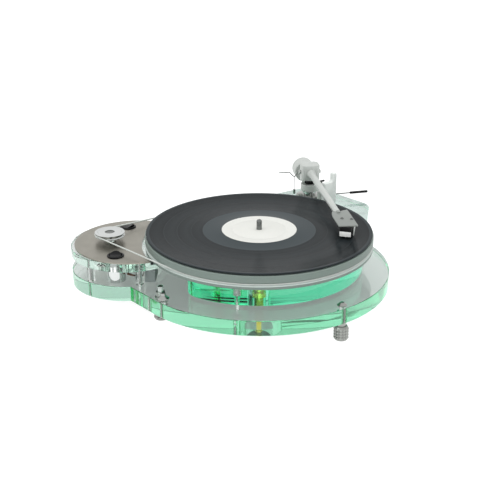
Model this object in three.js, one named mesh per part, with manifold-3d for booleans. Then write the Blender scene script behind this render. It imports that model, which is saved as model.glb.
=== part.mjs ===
// A belt-driven turntable on two acrylic plinths, in millimetres, with +Z up.
//
// While it is being built, the platter's axis is X = 0, Y = 0 and the surface it
// stands on is Z = 0. +X is the arm's side and -Y is the listener's side. At the
// end the whole group moves so that its origin is the bottom centre of its box.

import * as THREE from "three";
import { mergeVertices } from "three/addons/utils/BufferGeometryUtils.js";
import Module from "manifold-3d";

const wasm = await Module();
wasm.setup();

// Clearances that many pieces share.

const seatGap = 0.3; // between a piece and the hole or face that it sits in
const runningGap = 0.25; // round a shaft that turns
const overrun = 1; // how far a cutting solid runs past the face it cuts

// The layers, from the floor up.

const plinthGap = 3; // between the lower and the upper plinth
const platterGap = 3; // between the upper plinth and the platter

const lowerPlinth = {
  apron: 23, // out past the platter's rim
  thick: 20,
  lobeRadius: 77, // the round end that carries the motor
  lobeOut: 23, // from the platter's rim out to the lobe's axis
  waistOnLobe: 82.5, // where the straight faces between lobe and disc begin, in degrees
  waistOnDisc: 141.5,
  bearingHoleRadius: 20,
};

const upperPlinth = {
  ledge: 36, // in from the lower plinth's rim
  thick: 24,
  leftEdge: 90, // from the platter's axis to the straight cut on the left
  cornerRadius: 12,
};

// The arm board reaches out of the upper plinth to the right rear. Its corners are
// measured from the arm's pivot.

const board = {
  leftOut: 48.5,
  leftBehind: 11.6,
  rearAside: 7.5,
  rearBehind: 50,
  rightOut: 88.5,
  rightAhead: 39.7,
  rearRadius: 36,
};

const platter = {
  margin: 1.2, // round the record
  thick: 18,
  grooveHeight: 7, // of the belt's middle over the platter's underside
  grooveWidth: 4.4, // wide enough for a belt that leaves it uphill
  grooveDepth: 2.4,
};

const hub = { radius: 15 };
const mat = { inset: 3.8, thick: 1.2 }; // in from the record's rim
const record = { radius: 150.8, thick: 1.8, holeRadius: 3.75 };
const label = { radius: 50, thick: 0.3 };

const spindle = {
  radius: 3.6,
  rise: 14, // over the record
  tipRound: 2.4,
  thrustDepth: 21, // its lower end, under the upper plinth's top
};

const bearing = {
  collarRadius: 16,
  collarThick: 1.5,
  topRadius: 9.75,
  topHeight: 3,
  bodyRadius: 6.4,
  stemRadius: 3.5,
  stemLength: 31,
  bodyDrop: 1, // how far the body shows under the upper plinth
  nutRadius: 4.9,
  nutHeight: 5.5,
  nutLift: 19, // from the stem's lower end up to the nut
};

// The feet, and the free stud at the front left. Angles are seen from above,
// anticlockwise from +X.

const foot = {
  height: 26,
  radius: 10.2,
  bodyHeight: 19,
  rimRound: 1.6,
  neckRadius: 6,
  studRadius: 3.6,
  capRadius: 6.4,
  capHeight: 4.6,
  capTopRadius: 2.4,
};

const footPlaces = [
  { name: "front_right", inset: 10, angle: -51.6, capped: true }, // in from the lower plinth's rim
  { name: "front_left", inset: 28.5, angle: -150.1, capped: false },
  { name: "rear", inset: 10, angle: 108, capped: true },
];

const lockStud = {
  inset: 6.5,
  angle: -134.8,
  studRadius: 2.6,
  coneRadius: 7.6,
  coneHeight: 5,
  coneTopRadius: 3.2,
  neckRadius: 3.6,
  neckHeight: 3.5,
  footHeight: 3,
};

// The three soft isolators that carry the upper plinth.

const isolator = {
  inset: 11, // in from the upper plinth's rim
  pinRadius: 2.1,
  ballRadius: 2.8,
  ballHeight: 16.3, // of its middle over the lower plinth
  padRadius: 7,
  padHeight: 11,
  padTop: 2, // from the upper plinth's top down to the pad's
  ballGap: 0.4,
  studDepth: 16, // how far the pin reaches down into the lower plinth
  shoulderRadius: 3,
  shoulderThick: 0.8,
};

const isolatorAngles = [-101.8, 18.2, 138.2];

// The motor pod at the left.

const pod = {
  gap: 20, // between the lower plinth and the cover
  coverThick: 12,
  plateThick: 2,
  plateRadius: 78.5,
  plateShift: 6.5, // from the cover's axis in towards the platter
  edgeGap: 3, // between the platter and the hollow edge beside it
  plateSetback: 1.5, // from that edge to the plate's
  lipReach: 10, // how far the cover's lower part runs in under the platter
  lipDrop: 3.3, // from the platter's underside down to that part
  motorOffset: 25, // from the lobe's axis out to the motor's
  shaftHole: 6,
};

const spacer = { radius: 5.4, inset: 6.4 }; // in from the cover's rim
const podRod = { radius: 1.8 };
const spacerAngles = [-72.5, -128, 128, 72.5];

const motor = { radius: 25, height: 19.4, shaftRadius: 2.4, shaftBelow: 4 };

const pulley = {
  height: 12.8, // of its top over the cover plate
  lift: 2.2, // of its lower end over the cover plate
  bossRadius: 8.8,
  bossHeight: 3.4,
  rimRadius: 20,
  rimThick: 1.4,
  grooveWidth: 3,
  grooveDepth: 1.7,
  recessRadius: 6.6,
  recessDepth: 1.2,
};

const belt = { radius: 1 };

const rocker = {
  bezelRadius: 11.2,
  bezelHeight: 1.6,
  wellRadius: 8.8,
  wellDepth: 8,
  barrelRadius: 9.9,
  canRadius: 12.2, // of the part under the cover
  paddleRadius: 7.6,
  paddleEdge: 3,
  paddleMiddle: 1.4,
  paddleSide: 1,
  paddleBelly: 5,
  pinRadius: 1,
  axisHeight: 0.2, // of its pivot over the cover plate
  tilt: 12,
};

// Their places are measured from the lobe's axis, outwards and to the side of it.

const rockers = [
  { name: "front", out: 10.5, aside: 54, side: -1, turn: 90 },
  { name: "rear", out: 7.5, aside: 52, side: 1, turn: 0 },
];

const supplyBox = { inwards: 34, aside: 45, width: 14, length: 32, height: 17.6 };
const inlet = { radius: 4.2, length: 3, boreRadius: 2.6, boreDepth: 2.2, height: 9 };
const loom = { radius: 1.6, bow: 8 };

// The arm. Its own frame has the pivot as origin and +X along the arm.

const arm = {
  pivotX: 76.5,
  pivotY: 208.4,
  pivotHeight: 15, // over the record
  playAngle: -81.16, // where it points in the photograph
  parkSwing: 28, // from there out to its rest
  reach: 240, // from the pivot to the stylus
  tubeRadius: 4.4,
  tubeSeat: 6, // how far the tube runs into the headshell
  tubeRear: 17,
};

const armBase = { radius: 20, thick: 2.4, rimDrop: 0.8 };
const pillar = { radius: 13.2, height: 18, neckRadius: 7 };

const yoke = {
  width: 28,
  depth: 24,
  height: 26,
  corner: 7,
  lower: 13.5, // from the pivot's height down to its underside
  boreGap: 0.9, // round the tube, so that the tube can rise
  capRadius: 3,
  capReach: 2.6,
  pinRadius: 1.5,
};

const stub = { radius: 3.4, end: 62 };

const counterweight = { radius: 16.5, length: 24, near: 33, drop: 10.5, chamfer: 1.4 };

const headshell = {
  ahead: 5, // from the stylus to its front edge
  length: 62,
  inner: 11, // from the arm's centre line to the inner side
  outer: 14.6,
  thick: 1.8,
  flare: 21,
  cheek: 5,
  frontSlant: 1.4,
  drop: 1.6, // of its upper face under the tube's top
  socketLength: 6,
};

const cartridge = {
  ahead: 7, // from the stylus to its front face
  length: 26,
  offsetAngle: -22.8, // it points along the groove, and not along the arm
  halfWidth: 7.4,
  height: 14.4,
  noseHeight: 8,
  noseSlant: 2.4,
  bandThick: 0.9,
  bandHeight: 6.6,
  bandLow: 2,
  tipRadius: 0.5,
  tipTopRadius: 1.2,
};

const fingerLift = {
  inset: 3.3, // in from the headshell's outer side
  width: 2,
  tipWidth: 1.2,
  lean: 1.1,
  drop: 13,
  setback: 0.8,
  length: 3.5,
};

const armRest = {
  ringRadius: 45.6, // from the pivot to the parked tube's crossing
  thick: 8,
  ledge: 11, // from the tube's middle to the ledge's inner end
  postWidth: 6,
  postTop: 23, // over the record
  sideGap: 0.7,
};

const lift = {
  ringRadius: 32,
  swing: 22, // where its post stands, out from the arm's place
  baseRadius: 6,
  baseHeight: 17,
  pistonRadius: 1.8,
  railRadius: 1.5,
  railGap: 0.5, // under the tube
  railInner: 46, // degrees that the rail runs inwards from the post, and outwards
  railOuter: 9,
  leverRadius: 0.9,
  leverHeight: 10.5, // over the arm board
  knuckleRadius: 1.6,
  knuckleLength: 4.4,
  leverLength: 46,
  leverAngle: 14.7,
  gripLength: 28,
  gripRadius: 1.9,
};

const biasRod = {
  radius: 0.7,
  dipReach: 23.8, // from the pivot out to the dip
  dip: 6.8, // under the pivot's height
  kneeReach: 31,
  reach: 47.5,
  threadRadius: 0.35,
  weightRadius: 2,
  weightHeight: 7,
  weightTop: 12, // under the record
};

const leadGland = { radius: 4, length: 6 };

// How finely round pieces are cut.

const fineRound = 60;
const midRound = 24;
const smallRound = 18;
const pinRound = 12;
const tubeSides = 8;
const beltSides = 6;
const outlineSteps = 12; // on each rounded corner of a sheet, and doubled on its arcs
const beltWrapSteps = 48;
const beltPulleySteps = 12;

// Colours and finishes, as they look in the photograph.

const looks = {
  acrylic: { color: 0x7fc4a0, roughness: 0.05, metalness: 0 },
  platterAcrylic: { color: 0x8fa59b, roughness: 0.4, metalness: 0 },
  felt: { color: 0x101012, roughness: 0.95, metalness: 0 },
  vinyl: { color: 0x2c2c30, roughness: 0.25, metalness: 0 },
  paper: { color: 0xe9eae4, roughness: 0.7, metalness: 0 },
  steel: { color: 0xbfc1c0, roughness: 0.2, metalness: 1 },
  brushed: { color: 0xa9a397, roughness: 0.35, metalness: 1 },
  brass: { color: 0xc9a33d, roughness: 0.2, metalness: 1 },
  satin: { color: 0xc5c9c4, roughness: 0.45, metalness: 0.8 },
  black: { color: 0x0b0b0c, roughness: 0.4, metalness: 0 },
  rubber: { color: 0xb9beb8, roughness: 0.7, metalness: 0 },
  grey: { color: 0x8f9a98, roughness: 0.5, metalness: 0 },
  copper: { color: 0x6b4630, roughness: 0.5, metalness: 0 },
  silicone: { color: 0xd8e6df, roughness: 0.3, metalness: 0 },
};

// Sizes that follow from the ones above.

const platterRadius = record.radius + platter.margin;
const lowerRadius = platterRadius + lowerPlinth.apron;
const upperRadius = lowerRadius - upperPlinth.ledge;
const lobeReach = platterRadius + lowerPlinth.lobeOut;
const coverEdge = platterRadius + pod.edgeGap;
const motorX = -lobeReach - pod.motorOffset;
const headshellFront = arm.reach + headshell.ahead;
const headshellRear = headshellFront - headshell.length;
const tubeEnd = headshellRear + arm.tubeSeat;

// Heights that follow from the layers.

const lowerUnderside = foot.height;
const lowerTop = lowerUnderside + lowerPlinth.thick;
const upperUnderside = lowerTop + plinthGap;
const upperTop = upperUnderside + upperPlinth.thick;
const platterUnderside = upperTop + platterGap;
const platterTop = platterUnderside + platter.thick;
const matTop = platterTop + mat.thick;
const recordTop = matTop + record.thick;
const coverUnderside = lowerTop + pod.gap;
const coverTop = coverUnderside + pod.coverThick;
const plateTop = coverTop + pod.plateThick;
const pivotZ = recordTop + arm.pivotHeight;

const radians = THREE.MathUtils.degToRad;

const model = new THREE.Group();

// Shared helpers.

function addPiece(name, geometry, look, parent = model) {
  const piece = new THREE.Mesh(geometry, new THREE.MeshStandardMaterial(looks[look]));
  piece.name = name;
  parent.add(piece);
  return piece;
}

function polar(radius, degrees) {
  return new THREE.Vector2(radius * Math.cos(radians(degrees)), radius * Math.sin(radians(degrees)));
}

// A round body about Z. The profile is [radius, height] pairs, listed anticlockwise
// in the plane of radius and height.
function turned(profile, sides = midRound) {
  const closed = [...profile, profile[0]];
  const outline = closed.map(([r, z]) => new THREE.Vector2(r, z));
  return new THREE.LatheGeometry(outline, sides).rotateX(Math.PI / 2);
}

// A round rod or disc about Z, with both ends on the axis.
function rod(radius, low, high, sides = smallRound) {
  const outline = [
    new THREE.Vector2(0, low),
    new THREE.Vector2(radius, low),
    new THREE.Vector2(radius, high),
    new THREE.Vector2(0, high),
  ];
  return new THREE.LatheGeometry(outline, sides).rotateX(Math.PI / 2);
}

// A round body about Z whose profile starts and ends on the axis.
function solidTurned(profile, sides = midRound) {
  const outline = profile.map(([r, z]) => new THREE.Vector2(r, z));
  return new THREE.LatheGeometry(outline, sides).rotateX(Math.PI / 2);
}

function slab(shape, low, thick, curveSegments = outlineSteps) {
  const sheet = new THREE.ExtrudeGeometry(shape, { depth: thick, bevelEnabled: false, curveSegments });
  return sheet.translate(0, 0, low);
}

function circleShape(x, y, radius) {
  const shape = new THREE.Shape();
  shape.absarc(x, y, radius, 0, 2 * Math.PI, false);
  return shape;
}

function addHole(shape, x, y, radius, sides = pinRound) {
  const points = [];
  for (let i = 0; i < sides; i++) {
    const turn = (-2 * Math.PI * i) / sides;
    points.push(new THREE.Vector2(x + radius * Math.cos(turn), y + radius * Math.sin(turn)));
  }
  shape.holes.push(new THREE.Path(points));
}

// A round tube along a path. Its ends are flat and square to the path.
function tubeAlong(path, radius, steps) {
  return new THREE.ExtrudeGeometry(circleShape(0, 0, radius), {
    extrudePath: path,
    steps,
    bevelEnabled: false,
    curveSegments: tubeSides / 2,
  });
}

function toSolid(geometry) {
  const plain = geometry.clone();
  plain.deleteAttribute("normal");
  plain.deleteAttribute("uv");
  const merged = mergeVertices(plain, 1e-4);
  const mesh = new wasm.Mesh({
    numProp: 3,
    vertProperties: merged.attributes.position.array,
    triVerts: new Uint32Array(merged.index.array),
  });
  mesh.merge();
  return new wasm.Manifold(mesh);
}

function toGeometry(solid) {
  const mesh = solid.getMesh();
  const positions = new Float32Array(mesh.numVert * 3);
  for (let i = 0; i < mesh.numVert; i++) {
    const start = i * mesh.numProp;
    positions.set(mesh.vertProperties.subarray(start, start + 3), i * 3);
  }
  const geometry = new THREE.BufferGeometry();
  geometry.setAttribute("position", new THREE.BufferAttribute(positions, 3));
  geometry.setIndex(new THREE.BufferAttribute(mesh.triVerts, 1));
  const flat = geometry.toNonIndexed();
  flat.computeVertexNormals();
  return flat;
}

function cut(geometry, ...cutters) {
  let solid = toSolid(geometry);
  for (const cutter of cutters) {
    solid = solid.subtract(toSolid(cutter));
  }
  return toGeometry(solid);
}

function join(geometry, ...others) {
  let solid = toSolid(geometry);
  for (const other of others) {
    solid = solid.add(toSolid(other));
  }
  return toGeometry(solid);
}

function overlapOf(geometry, other) {
  return toGeometry(toSolid(geometry).intersect(toSolid(other)));
}

// The lower plinth is one sheet: a disc and the motor's lobe, with a straight face
// between them on each side.

function lowerPlinthShape() {
  const { lobeRadius, waistOnLobe, waistOnDisc } = lowerPlinth;
  const lobeTurn = radians(waistOnLobe);
  const discTurn = radians(waistOnDisc);
  const shape = new THREE.Shape();
  shape.absarc(0, 0, lowerRadius, -discTurn, discTurn, false);
  shape.absarc(-lobeReach, 0, lobeRadius, lobeTurn, 2 * Math.PI - lobeTurn, false);
  return shape;
}

function footPlace(place) {
  return polar(lowerRadius - place.inset, place.angle);
}

function isolatorPlace(angle) {
  return polar(upperRadius - isolator.inset, angle);
}

function spacerPlace(angle) {
  const onLobe = polar(lowerPlinth.lobeRadius - spacer.inset, angle);
  return onLobe.add(new THREE.Vector2(-lobeReach, 0));
}

function rockerPlace(each) {
  return new THREE.Vector2(-lobeReach - each.out, each.side * each.aside);
}

function addLowerPlinth() {
  const shape = lowerPlinthShape();
  addHole(shape, 0, 0, lowerPlinth.bearingHoleRadius, midRound);
  for (const place of footPlaces) {
    const at = footPlace(place);
    addHole(shape, at.x, at.y, foot.studRadius + seatGap);
  }
  for (const angle of isolatorAngles) {
    const at = isolatorPlace(angle);
    addHole(shape, at.x, at.y, isolator.pinRadius + seatGap);
  }
  for (const angle of spacerAngles) {
    const at = spacerPlace(angle);
    addHole(shape, at.x, at.y, podRod.radius + seatGap);
  }
  const stud = footPlace(lockStud);
  addHole(shape, stud.x, stud.y, lockStud.studRadius + seatGap);
  addPiece("lower_plinth", slab(shape, lowerUnderside, lowerPlinth.thick, 2 * outlineSteps), "acrylic");
}

// The upper plinth carries the main bearing and, on its arm board, the arm.

function upperPlinthShape() {
  const { leftEdge, cornerRadius } = upperPlinth;
  const radius = upperRadius;
  const cornerDrop = Math.sqrt(radius ** 2 - leftEdge ** 2);
  const cornerTurn = Math.atan2(-cornerDrop, -leftEdge) + cornerRadius / radius;
  const right = new THREE.Vector2(arm.pivotX + board.rightOut, arm.pivotY - board.rightAhead);
  const top = new THREE.Vector2(arm.pivotX + board.rearAside, arm.pivotY + board.rearBehind);
  const left = new THREE.Vector2(arm.pivotX - board.leftOut, arm.pivotY + board.leftBehind);
  // The right side runs from the corner of the board, straight, to touch the round front.
  const touchTurn = right.angle() - Math.acos(radius / right.length());
  const edge = right.clone().sub(top).normalize();
  const rightIn = right.clone().addScaledVector(edge, -cornerRadius);
  const side = polar(radius, THREE.MathUtils.radToDeg(touchTurn)).sub(right).normalize();
  const rightOut = right.clone().addScaledVector(side, cornerRadius);
  const topRight = top.clone().addScaledVector(edge, board.rearRadius);
  const topLeft = top.clone().addScaledVector(left.clone().sub(top).normalize(), board.rearRadius);

  const shape = new THREE.Shape();
  shape.absarc(0, 0, radius, cornerTurn, touchTurn, false);
  shape.lineTo(rightOut.x, rightOut.y);
  shape.quadraticCurveTo(right.x, right.y, rightIn.x, rightIn.y);
  shape.lineTo(topRight.x, topRight.y);
  shape.quadraticCurveTo(top.x, top.y, topLeft.x, topLeft.y);
  shape.lineTo(left.x, left.y);
  shape.lineTo(-leftEdge + cornerRadius, cornerDrop);
  shape.quadraticCurveTo(-leftEdge, cornerDrop, -leftEdge, cornerDrop - cornerRadius);
  shape.lineTo(-leftEdge, -cornerDrop + cornerRadius);
  return shape;
}

function addUpperPlinth() {
  const shape = upperPlinthShape();
  addHole(shape, 0, 0, bearing.topRadius + seatGap, midRound);
  const sheet = slab(shape, upperUnderside, upperPlinth.thick);
  const pocketFloor = upperTop - isolator.padTop - isolator.padHeight;
  const cutters = [];
  for (const angle of isolatorAngles) {
    const at = isolatorPlace(angle);
    const pocket = rod(isolator.padRadius + seatGap, pocketFloor, upperTop + overrun);
    cutters.push(pocket.translate(at.x, at.y, 0));
    const throat = rod(isolator.ballRadius + isolator.ballGap, upperUnderside - overrun, upperTop);
    cutters.push(throat.translate(at.x, at.y, 0));
  }
  addPiece("upper_plinth", cut(sheet, ...cutters), "acrylic");
}

// Each isolator is a ball-headed pin set in the lower plinth, inside a soft clear pad
// that sits in a pocket of the upper plinth.

function addIsolators() {
  const ballZ = lowerTop + isolator.ballHeight;
  const padLow = upperTop - isolator.padTop - isolator.padHeight;
  const padHigh = padLow + isolator.padHeight;
  const boreTop = ballZ + isolator.ballRadius + isolator.ballGap;
  const boreRadius = isolator.ballRadius + isolator.ballGap;
  isolatorAngles.forEach((angle, index) => {
    const at = isolatorPlace(angle);
    const pin = rod(isolator.pinRadius, lowerTop - isolator.studDepth, ballZ, pinRound);
    const shoulder = rod(isolator.shoulderRadius, lowerTop, lowerTop + isolator.shoulderThick, pinRound);
    const ball = new THREE.SphereGeometry(isolator.ballRadius, pinRound, tubeSides).translate(0, 0, ballZ);
    const whole = join(pin, shoulder, ball).translate(at.x, at.y, 0);
    addPiece("isolator_pin_" + (index + 1), whole, "steel");
    const pad = solidTurned([
      [0, boreTop],
      [boreRadius, boreTop],
      [boreRadius, padLow],
      [isolator.padRadius, padLow],
      [isolator.padRadius, padHigh],
      [0, padHigh],
    ], smallRound);
    addPiece("isolator_pad_" + (index + 1), pad.translate(at.x, at.y, 0), "silicone");
  });
}

// A levelling foot: the knurled body, its neck, the stud through the lower plinth and
// the cone on the stud's upper end are screwed together and turn as one. The stud of
// the front left foot ends flush with the plinth.

function addFeet() {
  const { radius, bodyHeight, rimRound, neckRadius, studRadius, capRadius, capHeight, capTopRadius } = foot;
  for (const place of footPlaces) {
    const at = footPlace(place);
    const cone = [
      [studRadius, lowerTop + seatGap],
      [capRadius, lowerTop + seatGap],
      [capTopRadius, lowerTop + capHeight],
      [0, lowerTop + capHeight],
    ];
    const flushEnd = [
      [studRadius, lowerTop],
      [0, lowerTop],
    ];
    const body = solidTurned([
      [0, 0],
      [radius - rimRound, 0],
      [radius, rimRound],
      [radius, bodyHeight - rimRound],
      [radius - rimRound, bodyHeight],
      [neckRadius, bodyHeight],
      [neckRadius, lowerUnderside - seatGap],
      [studRadius, lowerUnderside - seatGap],
      ...(place.capped ? cone : flushEnd),
    ], smallRound);
    addPiece("foot_" + place.name, body.translate(at.x, at.y, 0), "steel");
  }
}

function addLockStud() {
  const { studRadius, coneRadius, coneHeight, coneTopRadius, neckRadius, neckHeight, footHeight } = lockStud;
  const at = footPlace(lockStud);
  const coneLow = lowerTop + footHeight;
  const coneHigh = coneLow + coneHeight;
  const stud = solidTurned([
    [0, lowerUnderside],
    [studRadius, lowerUnderside],
    [studRadius, lowerTop],
    [neckRadius, lowerTop],
    [neckRadius, coneLow],
    [coneRadius, coneLow + footHeight / 2],
    [coneTopRadius, coneHigh],
    [coneTopRadius, coneHigh + neckHeight],
    [0, coneHigh + neckHeight],
  ], smallRound);
  addPiece("lock_stud", stud.translate(at.x, at.y, 0), "steel");
}

// The main bearing hangs by its collar in the upper plinth and holds the spindle.

function addBearing() {
  const bore = spindle.radius + runningGap;
  const boreFloor = upperTop - spindle.thrustDepth - runningGap;
  const bodyLow = upperUnderside - bearing.bodyDrop;
  const stemLow = bodyLow - bearing.stemLength;
  const housing = solidTurned([
    [0, stemLow],
    [bearing.stemRadius, stemLow],
    [bearing.stemRadius, bodyLow],
    [bearing.bodyRadius, bodyLow],
    [bearing.bodyRadius, upperTop - bearing.topHeight],
    [bearing.topRadius, upperTop - bearing.topHeight],
    [bearing.topRadius, upperTop],
    [bearing.collarRadius, upperTop],
    [bearing.collarRadius, upperTop + bearing.collarThick],
    [bore, upperTop + bearing.collarThick],
    [bore, boreFloor],
    [0, boreFloor],
  ]);
  addPiece("bearing_housing", housing, "brass");
  const nutLow = stemLow + bearing.nutLift;
  const nutHigh = nutLow + bearing.nutHeight;
  const nut = rod(bearing.nutRadius, nutLow, nutHigh, 6);
  const nutBore = rod(bearing.stemRadius + seatGap, nutLow - overrun, nutHigh + overrun);
  addPiece("bearing_nut", cut(nut, nutBore), "brass");
}

// Everything that turns with the platter.

function addPlatter() {
  const { grooveHeight, grooveWidth, grooveDepth } = platter;
  const radius = platterRadius;
  const hubBore = hub.radius + seatGap;
  const grooveMiddle = platterUnderside + grooveHeight;
  const disc = turned([
    [hubBore, platterUnderside],
    [radius, platterUnderside],
    [radius, grooveMiddle - grooveWidth / 2],
    [radius - grooveDepth, grooveMiddle - grooveWidth / 2],
    [radius - grooveDepth, grooveMiddle + grooveWidth / 2],
    [radius, grooveMiddle + grooveWidth / 2],
    [radius, platterTop],
    [hubBore, platterTop],
  ], fineRound);
  addPiece("platter", disc, "platterAcrylic");

  const hubDisc = turned([
    [spindle.radius + seatGap, platterUnderside],
    [hub.radius, platterUnderside],
    [hub.radius, platterTop],
    [spindle.radius + seatGap, platterTop],
  ]);
  addPiece("platter_hub", hubDisc, "steel");

  const felt = turned([
    [record.holeRadius + seatGap, platterTop],
    [record.radius - mat.inset, platterTop],
    [record.radius - mat.inset, matTop],
    [record.holeRadius + seatGap, matTop],
  ], fineRound);
  addPiece("mat", felt, "felt");

  const disk = turned([
    [record.holeRadius, matTop],
    [record.radius, matTop],
    [record.radius, recordTop],
    [record.holeRadius, recordTop],
  ], fineRound);
  addPiece("record", disk, "vinyl");

  const sticker = turned([
    [record.holeRadius, recordTop],
    [label.radius, recordTop],
    [label.radius, recordTop + label.thick],
    [record.holeRadius, recordTop + label.thick],
  ]);
  addPiece("record_label", sticker, "paper");

  const low = upperTop - spindle.thrustDepth;
  const high = recordTop + spindle.rise;
  const shaft = solidTurned([
    [0, low],
    [spindle.radius, low],
    [spindle.radius, high - spindle.tipRound],
    [spindle.radius - spindle.tipRound / 4, high - spindle.tipRound / 2],
    [spindle.radius - spindle.tipRound, high],
    [0, high],
  ], smallRound);
  addPiece("spindle", shaft, "steel");
}

// The pod: a thick clear cover on four spacers, with a brushed plate on top.

function roundWithHollow(reach, radius, hollowRadius) {
  const meetX = -(hollowRadius ** 2 - radius ** 2 + reach ** 2) / (2 * reach);
  const meetY = Math.sqrt(hollowRadius ** 2 - meetX ** 2);
  const hollowTurn = Math.atan2(meetY, meetX);
  const outerTurn = Math.atan2(meetY, meetX + reach);
  const shape = new THREE.Shape();
  shape.absarc(-reach, 0, radius, outerTurn, 2 * Math.PI - outerTurn, false);
  shape.absarc(0, 0, hollowRadius, 2 * Math.PI - hollowTurn, hollowTurn, true);
  return shape;
}

function addPod() {
  const lipTop = platterUnderside - pod.lipDrop;
  const coverBase = roundWithHollow(lobeReach, lowerPlinth.lobeRadius, platterRadius - pod.lipReach);
  const coverHead = roundWithHollow(lobeReach, lowerPlinth.lobeRadius, coverEdge);
  const plate = roundWithHollow(lobeReach - pod.plateShift, pod.plateRadius, coverEdge + pod.plateSetback);
  for (const shape of [coverBase, coverHead]) {
    addHole(shape, motorX, 0, pod.shaftHole);
    for (const each of rockers) {
      const at = rockerPlace(each);
      addHole(shape, at.x, at.y, rocker.barrelRadius + seatGap, midRound);
    }
    for (const angle of spacerAngles) {
      const at = spacerPlace(angle);
      addHole(shape, at.x, at.y, podRod.radius + seatGap);
    }
  }
  addHole(plate, motorX, 0, pod.shaftHole);
  for (const each of rockers) {
    const at = rockerPlace(each);
    addHole(plate, at.x, at.y, rocker.barrelRadius + seatGap, midRound);
  }
  const base = slab(coverBase, coverUnderside, lipTop - coverUnderside, smallRound);
  const head = slab(coverHead, lipTop, coverTop - lipTop, smallRound);
  addPiece("motor_cover", join(base, head), "acrylic");
  addPiece("cover_plate", slab(plate, coverTop, pod.plateThick, smallRound), "brushed");

  spacerAngles.forEach((angle, index) => {
    const at = spacerPlace(angle);
    const tube = turned([
      [podRod.radius + seatGap, lowerTop],
      [spacer.radius, lowerTop],
      [spacer.radius, coverUnderside],
      [podRod.radius + seatGap, coverUnderside],
    ], smallRound);
    addPiece("pod_spacer_" + (index + 1), tube.translate(at.x, at.y, 0), "acrylic");
    const bar = rod(podRod.radius, lowerUnderside, coverTop, pinRound);
    addPiece("pod_rod_" + (index + 1), bar.translate(at.x, at.y, 0), "steel");
  });
}

// The motor hangs under the cover, with its shaft up through it to the pulley.

function addMotor() {
  const canTop = coverUnderside;
  const canLow = canTop - motor.height;
  const bore = motor.shaftRadius + runningGap;
  const shaftLow = canTop - motor.shaftBelow;
  const can = solidTurned([
    [0, canLow],
    [motor.radius, canLow],
    [motor.radius, canTop],
    [bore, canTop],
    [bore, shaftLow - runningGap],
    [0, shaftLow - runningGap],
  ]);
  addPiece("motor_can", can.translate(motorX, 0, 0), "brushed");

  const low = plateTop + pulley.lift;
  const high = plateTop + pulley.height;
  const rimLow = high - pulley.rimThick;
  const grooveLow = rimLow - pulley.grooveWidth;
  const flangeLow = grooveLow - pulley.rimThick;
  const bossHigh = low + pulley.bossHeight;
  const shaftTop = high - pulley.recessDepth;
  const wheel = turned([
    [motor.shaftRadius, low],
    [pulley.bossRadius, low],
    [pulley.bossRadius, bossHigh],
    [pulley.rimRadius - pulley.grooveDepth, flangeLow],
    [pulley.rimRadius, flangeLow],
    [pulley.rimRadius, grooveLow],
    [pulley.rimRadius - pulley.grooveDepth, grooveLow],
    [pulley.rimRadius - pulley.grooveDepth, rimLow],
    [pulley.rimRadius, rimLow],
    [pulley.rimRadius, high],
    [pulley.recessRadius, high],
    [pulley.recessRadius, shaftTop],
    [motor.shaftRadius, shaftTop],
  ]);
  addPiece("pulley", wheel.translate(motorX, 0, 0), "steel");
  const shaft = rod(motor.shaftRadius - seatGap, shaftLow, shaftTop);
  addPiece("motor_shaft", shaft.translate(motorX, 0, 0), "steel");
}

// The belt is one closed loop of round cord. It lies in both grooves and runs
// slightly downhill from the pulley to the platter.

function beltPoints() {
  const big = platterRadius - platter.grooveDepth + seatGap + belt.radius;
  const small = pulley.rimRadius - pulley.grooveDepth + seatGap + belt.radius;
  const bigZ = platterUnderside + platter.grooveHeight;
  const smallZ = plateTop + pulley.height - pulley.rimThick - pulley.grooveWidth / 2;
  const lean = Math.PI - Math.acos((big - small) / -motorX);
  const points = [];
  for (let i = 0; i <= beltWrapSteps; i++) {
    const turn = -lean + (2 * lean * i) / beltWrapSteps;
    points.push(new THREE.Vector3(big * Math.cos(turn), big * Math.sin(turn), bigZ));
  }
  for (let i = 0; i <= beltPulleySteps; i++) {
    const turn = lean + ((2 * Math.PI - 2 * lean) * i) / beltPulleySteps;
    const x = motorX + small * Math.cos(turn);
    points.push(new THREE.Vector3(x, small * Math.sin(turn), smallZ));
  }
  return points;
}

function closedTube(points, radius, sides) {
  const count = points.length;
  const up = new THREE.Vector3(0, 0, 1);
  const positions = [];
  points.forEach((point, i) => {
    const ahead = points[(i + 1) % count].clone().sub(points[(i + count - 1) % count]).normalize();
    const outward = new THREE.Vector3().crossVectors(ahead, up).normalize();
    const across = new THREE.Vector3().crossVectors(outward, ahead).normalize();
    for (let k = 0; k < sides; k++) {
      const turn = (2 * Math.PI * k) / sides;
      const corner = point.clone();
      corner.addScaledVector(outward, radius * Math.cos(turn));
      corner.addScaledVector(across, radius * Math.sin(turn));
      positions.push(corner.x, corner.y, corner.z);
    }
  });
  const faces = [];
  for (let i = 0; i < count; i++) {
    const next = (i + 1) % count;
    for (let k = 0; k < sides; k++) {
      const beside = (k + 1) % sides;
      faces.push(i * sides + k, next * sides + k, next * sides + beside);
      faces.push(i * sides + k, next * sides + beside, i * sides + beside);
    }
  }
  const geometry = new THREE.BufferGeometry();
  geometry.setAttribute("position", new THREE.Float32BufferAttribute(positions, 3));
  geometry.setIndex(faces);
  const flat = geometry.toNonIndexed();
  flat.computeVertexNormals();
  return flat;
}

function addBelt() {
  addPiece("drive_belt", closedTube(beltPoints(), belt.radius, beltSides), "rubber");
}

// A round rocker switch: a bezel with its barrel through the cover, a wider can under
// it, and a paddle.

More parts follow.
